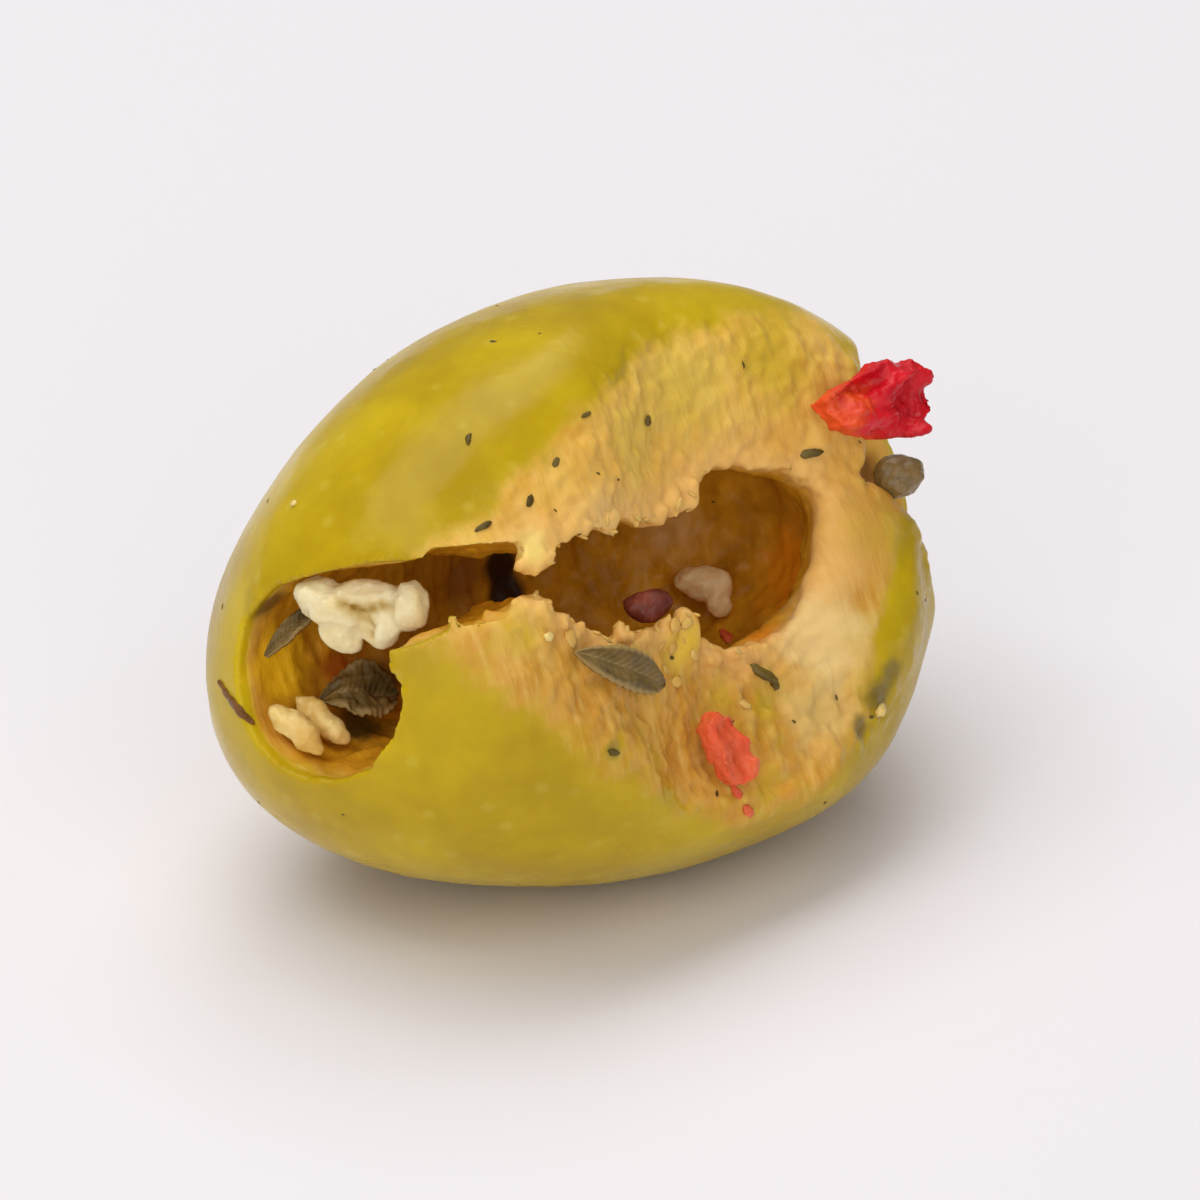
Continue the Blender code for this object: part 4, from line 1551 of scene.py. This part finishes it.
# Marinade
MORSELS = (
    (GARLIC, Morsel(
        "garlic_lump", Slot.GARLIC, lumps=0.07, lump_size=0.7,
        lobes=(
            Lobe((-0.1, 0.1, 0.0), (2.0, 1.0, 0.8), uneven=0.15, seed=1),
            Lobe((-1.6, 0.45, -0.5), (0.85, 0.85, 0.8), uneven=0.2, seed=2),
            Lobe((1.65, 0.2, 0.5), (0.8, 1.0, 0.8), uneven=0.2, seed=3),
            Lobe((-0.85, -0.8, -0.2), (0.95, 0.62, 0.65), turn=-35, uneven=0.2, seed=4),
            Lobe((0.6, -0.75, 0.2), (0.7, 0.65, 0.65), turn=-12, uneven=0.2, seed=5),
        ),
        dents=(
            Dent((0.0, -0.15, 0.85), 0.55, 0.34),
            Dent((-0.35, 0.05, 0.8), 0.4, 0.28),
            Dent((-0.7, 0.25, 0.7), 0.3, 0.24),
            Dent((0.35, 0.05, 0.85), 0.4, 0.26),
            Dent((0.7, 0.18, 0.8), 0.3, 0.24),
            Dent((0.05, -0.55, 0.8), 0.45, 0.28),
            Dent((-0.05, -1.05, 0.6), 0.5, 0.34),
        ),
    )),
    (TAN_GARLIC, Morsel("garlic_sliver_front", Slot.GARLIC, lumps=0.14, lump_size=0.8)),
    (TAN_GARLIC, Morsel("garlic_sliver_back", Slot.GARLIC, lumps=0.14, lump_size=0.7)),
    (PINK_GARLIC, Morsel(
        "garlic_bit_hollow", Slot.GARLIC,
        lobes=(
            Lobe((0.15, 0.1, 0.0), (0.95, 0.75, 0.6), uneven=0.2, seed=7),
            Lobe((-0.6, 0.3, 0.0), (0.6, 0.5, 0.5), turn=15, uneven=0.2, seed=8),
            Lobe((0.5, -0.5, 0.1), (0.5, 0.7, 0.5), turn=20, uneven=0.2, seed=9),
        ),
    )),
    (GLASSY, Morsel("garlic_bit_rim", Slot.GLASSY, lumps=0.1)),
    (PEPPER, Morsel("pepper_flake_rim", Slot.PEPPER, lumps=0.16, lump_size=0.7, grain=0.03, tail=-0.05)),
    (PEPPER_ORANGE, Morsel("pepper_flake_face", Slot.PEPPER, lumps=0.12, lump_size=0.6, grain=0.03)),
    (ONION, Morsel("onion_bit", Slot.ONION)),
)
LEAVES = (
    Leaf("herb_leaf_lip", width=0.78, seed=1),
    Leaf("herb_leaf_hole", width=0.8, fold=0.25, droop=0.15, seed=2),
    Leaf("herb_leaf_floor", width=1.0, fold=0.5, droop=0.35, crumple=0.3, seed=3),
)
SPECKS = (
    (SPECK, Specks("herb_specks", Slot.HERB, 0.5, (
        Lobe((-4.42, 5.24, 0.02), (0.26, 0.10, 0.08), 80),
        Lobe((-1.28, 4.41, 0.02), (0.24, 0.13, 0.08), 65),
        Lobe((-2.20, 3.02, 0.02), (0.24, 0.14, 0.08), 70),
        Lobe((-0.17, 6.16, 0.02), (0.22, 0.10, 0.07), 30),
        Lobe((2.05, 5.98, 0.03), (0.26, 0.14, 0.10), 75),
        Lobe((-3.87, 2.10, 0.02), (0.38, 0.12, 0.08), 30),
        Lobe((8.15, 4.87, 0.05), (0.48, 0.16, 0.12), 10),
        Lobe((6.30, -3.27, 0.08), (0.62, 0.20, 0.16), -30),
        Lobe((6.70, -3.60, 0.08), (0.30, 0.14, 0.14), -75),
        Lobe((0.80, -6.05, 0.03), (0.28, 0.12, 0.10), -20),
    ))),
    (PEPPER_ORANGE, Specks("pepper_specks", Slot.PEPPER, 0.5, (
        Lobe((5.05, -1.95, 0.05), (0.50, 0.20, 0.14), -55),
        Lobe((5.75, -8.26, 0.05), (0.34, 0.20, 0.14), -50),
        Lobe((5.30, -7.60, 0.05), (0.40, 0.16, 0.12), -60),
        Lobe((-8.86, -3.27, 0.04), (0.34, 0.12, 0.10), 35),
    ))),
    (TAN_GARLIC, Specks("garlic_specks", Slot.GARLIC, 0.4, (
        Lobe((10.65, -4.65, 0.08), (0.30, 0.26, 0.18), 0),
        Lobe((-10.75, 2.95, 0.04), (0.16, 0.14, 0.10), 0),
        Lobe((-1.55, -1.9, 0.05), (0.22, 0.18, 0.14), 0),
    ))),
    (HUSK, Specks("husk_flake", Slot.HERB, 0.4, (
        Lobe((-13.45, -3.65, 0.03), (0.34, 0.10, 0.08), -55),
        Lobe((-13.25, -3.95, 0.03), (0.36, 0.17, 0.09), -54),
        Lobe((-13.0, -4.3, 0.03), (0.38, 0.22, 0.09), -50),
        Lobe((-12.75, -4.6, 0.03), (0.36, 0.20, 0.09), -48),
        Lobe((-12.5, -4.85, 0.03), (0.36, 0.12, 0.08), -44),
    ))),
)
SCATTERS = (
    (CRUMB, Scatter("flesh_crumbs", Slot.OLIVE, "crumb_share", 1.2, 0.5, 0.12, 0.32, 1.5, 0.4, 0.2, 3)),
    (CRUMB, Scatter("torn_fibres", Slot.OLIVE, "fibre_share", 2.4, 0.4, 0.05, 0.12, 2.4, 0.6, 0.5, 5)),
    (SPECK, Scatter("herb_flecks", Slot.HERB, "herb_share", 0.07, 1.2, 0.04, 0.09, 1.9, 0.35, 0.25, 7)),
)


def main() -> None:
    """Builds the olive, what clings to it and the studio, and keeps the CAD solids hidden beside them."""
    logging.basicConfig(level=logging.INFO, format="%(message)s")
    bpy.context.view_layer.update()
    Studio().build()
    effects = Effects()
    ground = Fruit().build()
    sight = Sight(ground)
    finishes = {finish.name: finish.material(effects) for finish in FINISHES}
    tree = scatter_tree()
    for finish, scatter in SCATTERS:
        scatter.build(tree, ground, finishes[finish.name])
    for finish, morsel in MORSELS:
        morsel.build(finishes[finish.name])
    for leaf in LEAVES:
        leaf.build(finishes[HERB.name])
    for finish, specks in SPECKS:
        specks.build(sight, finishes[finish.name])
    olive_finish = OliveFinish().material(effects, sight, COLOUR_AND_SHADE_PATCHES)
    settle("olive_fine", ground, ("olive",)).data.materials.append(olive_finish)


if __name__ == "__main__":
    main()
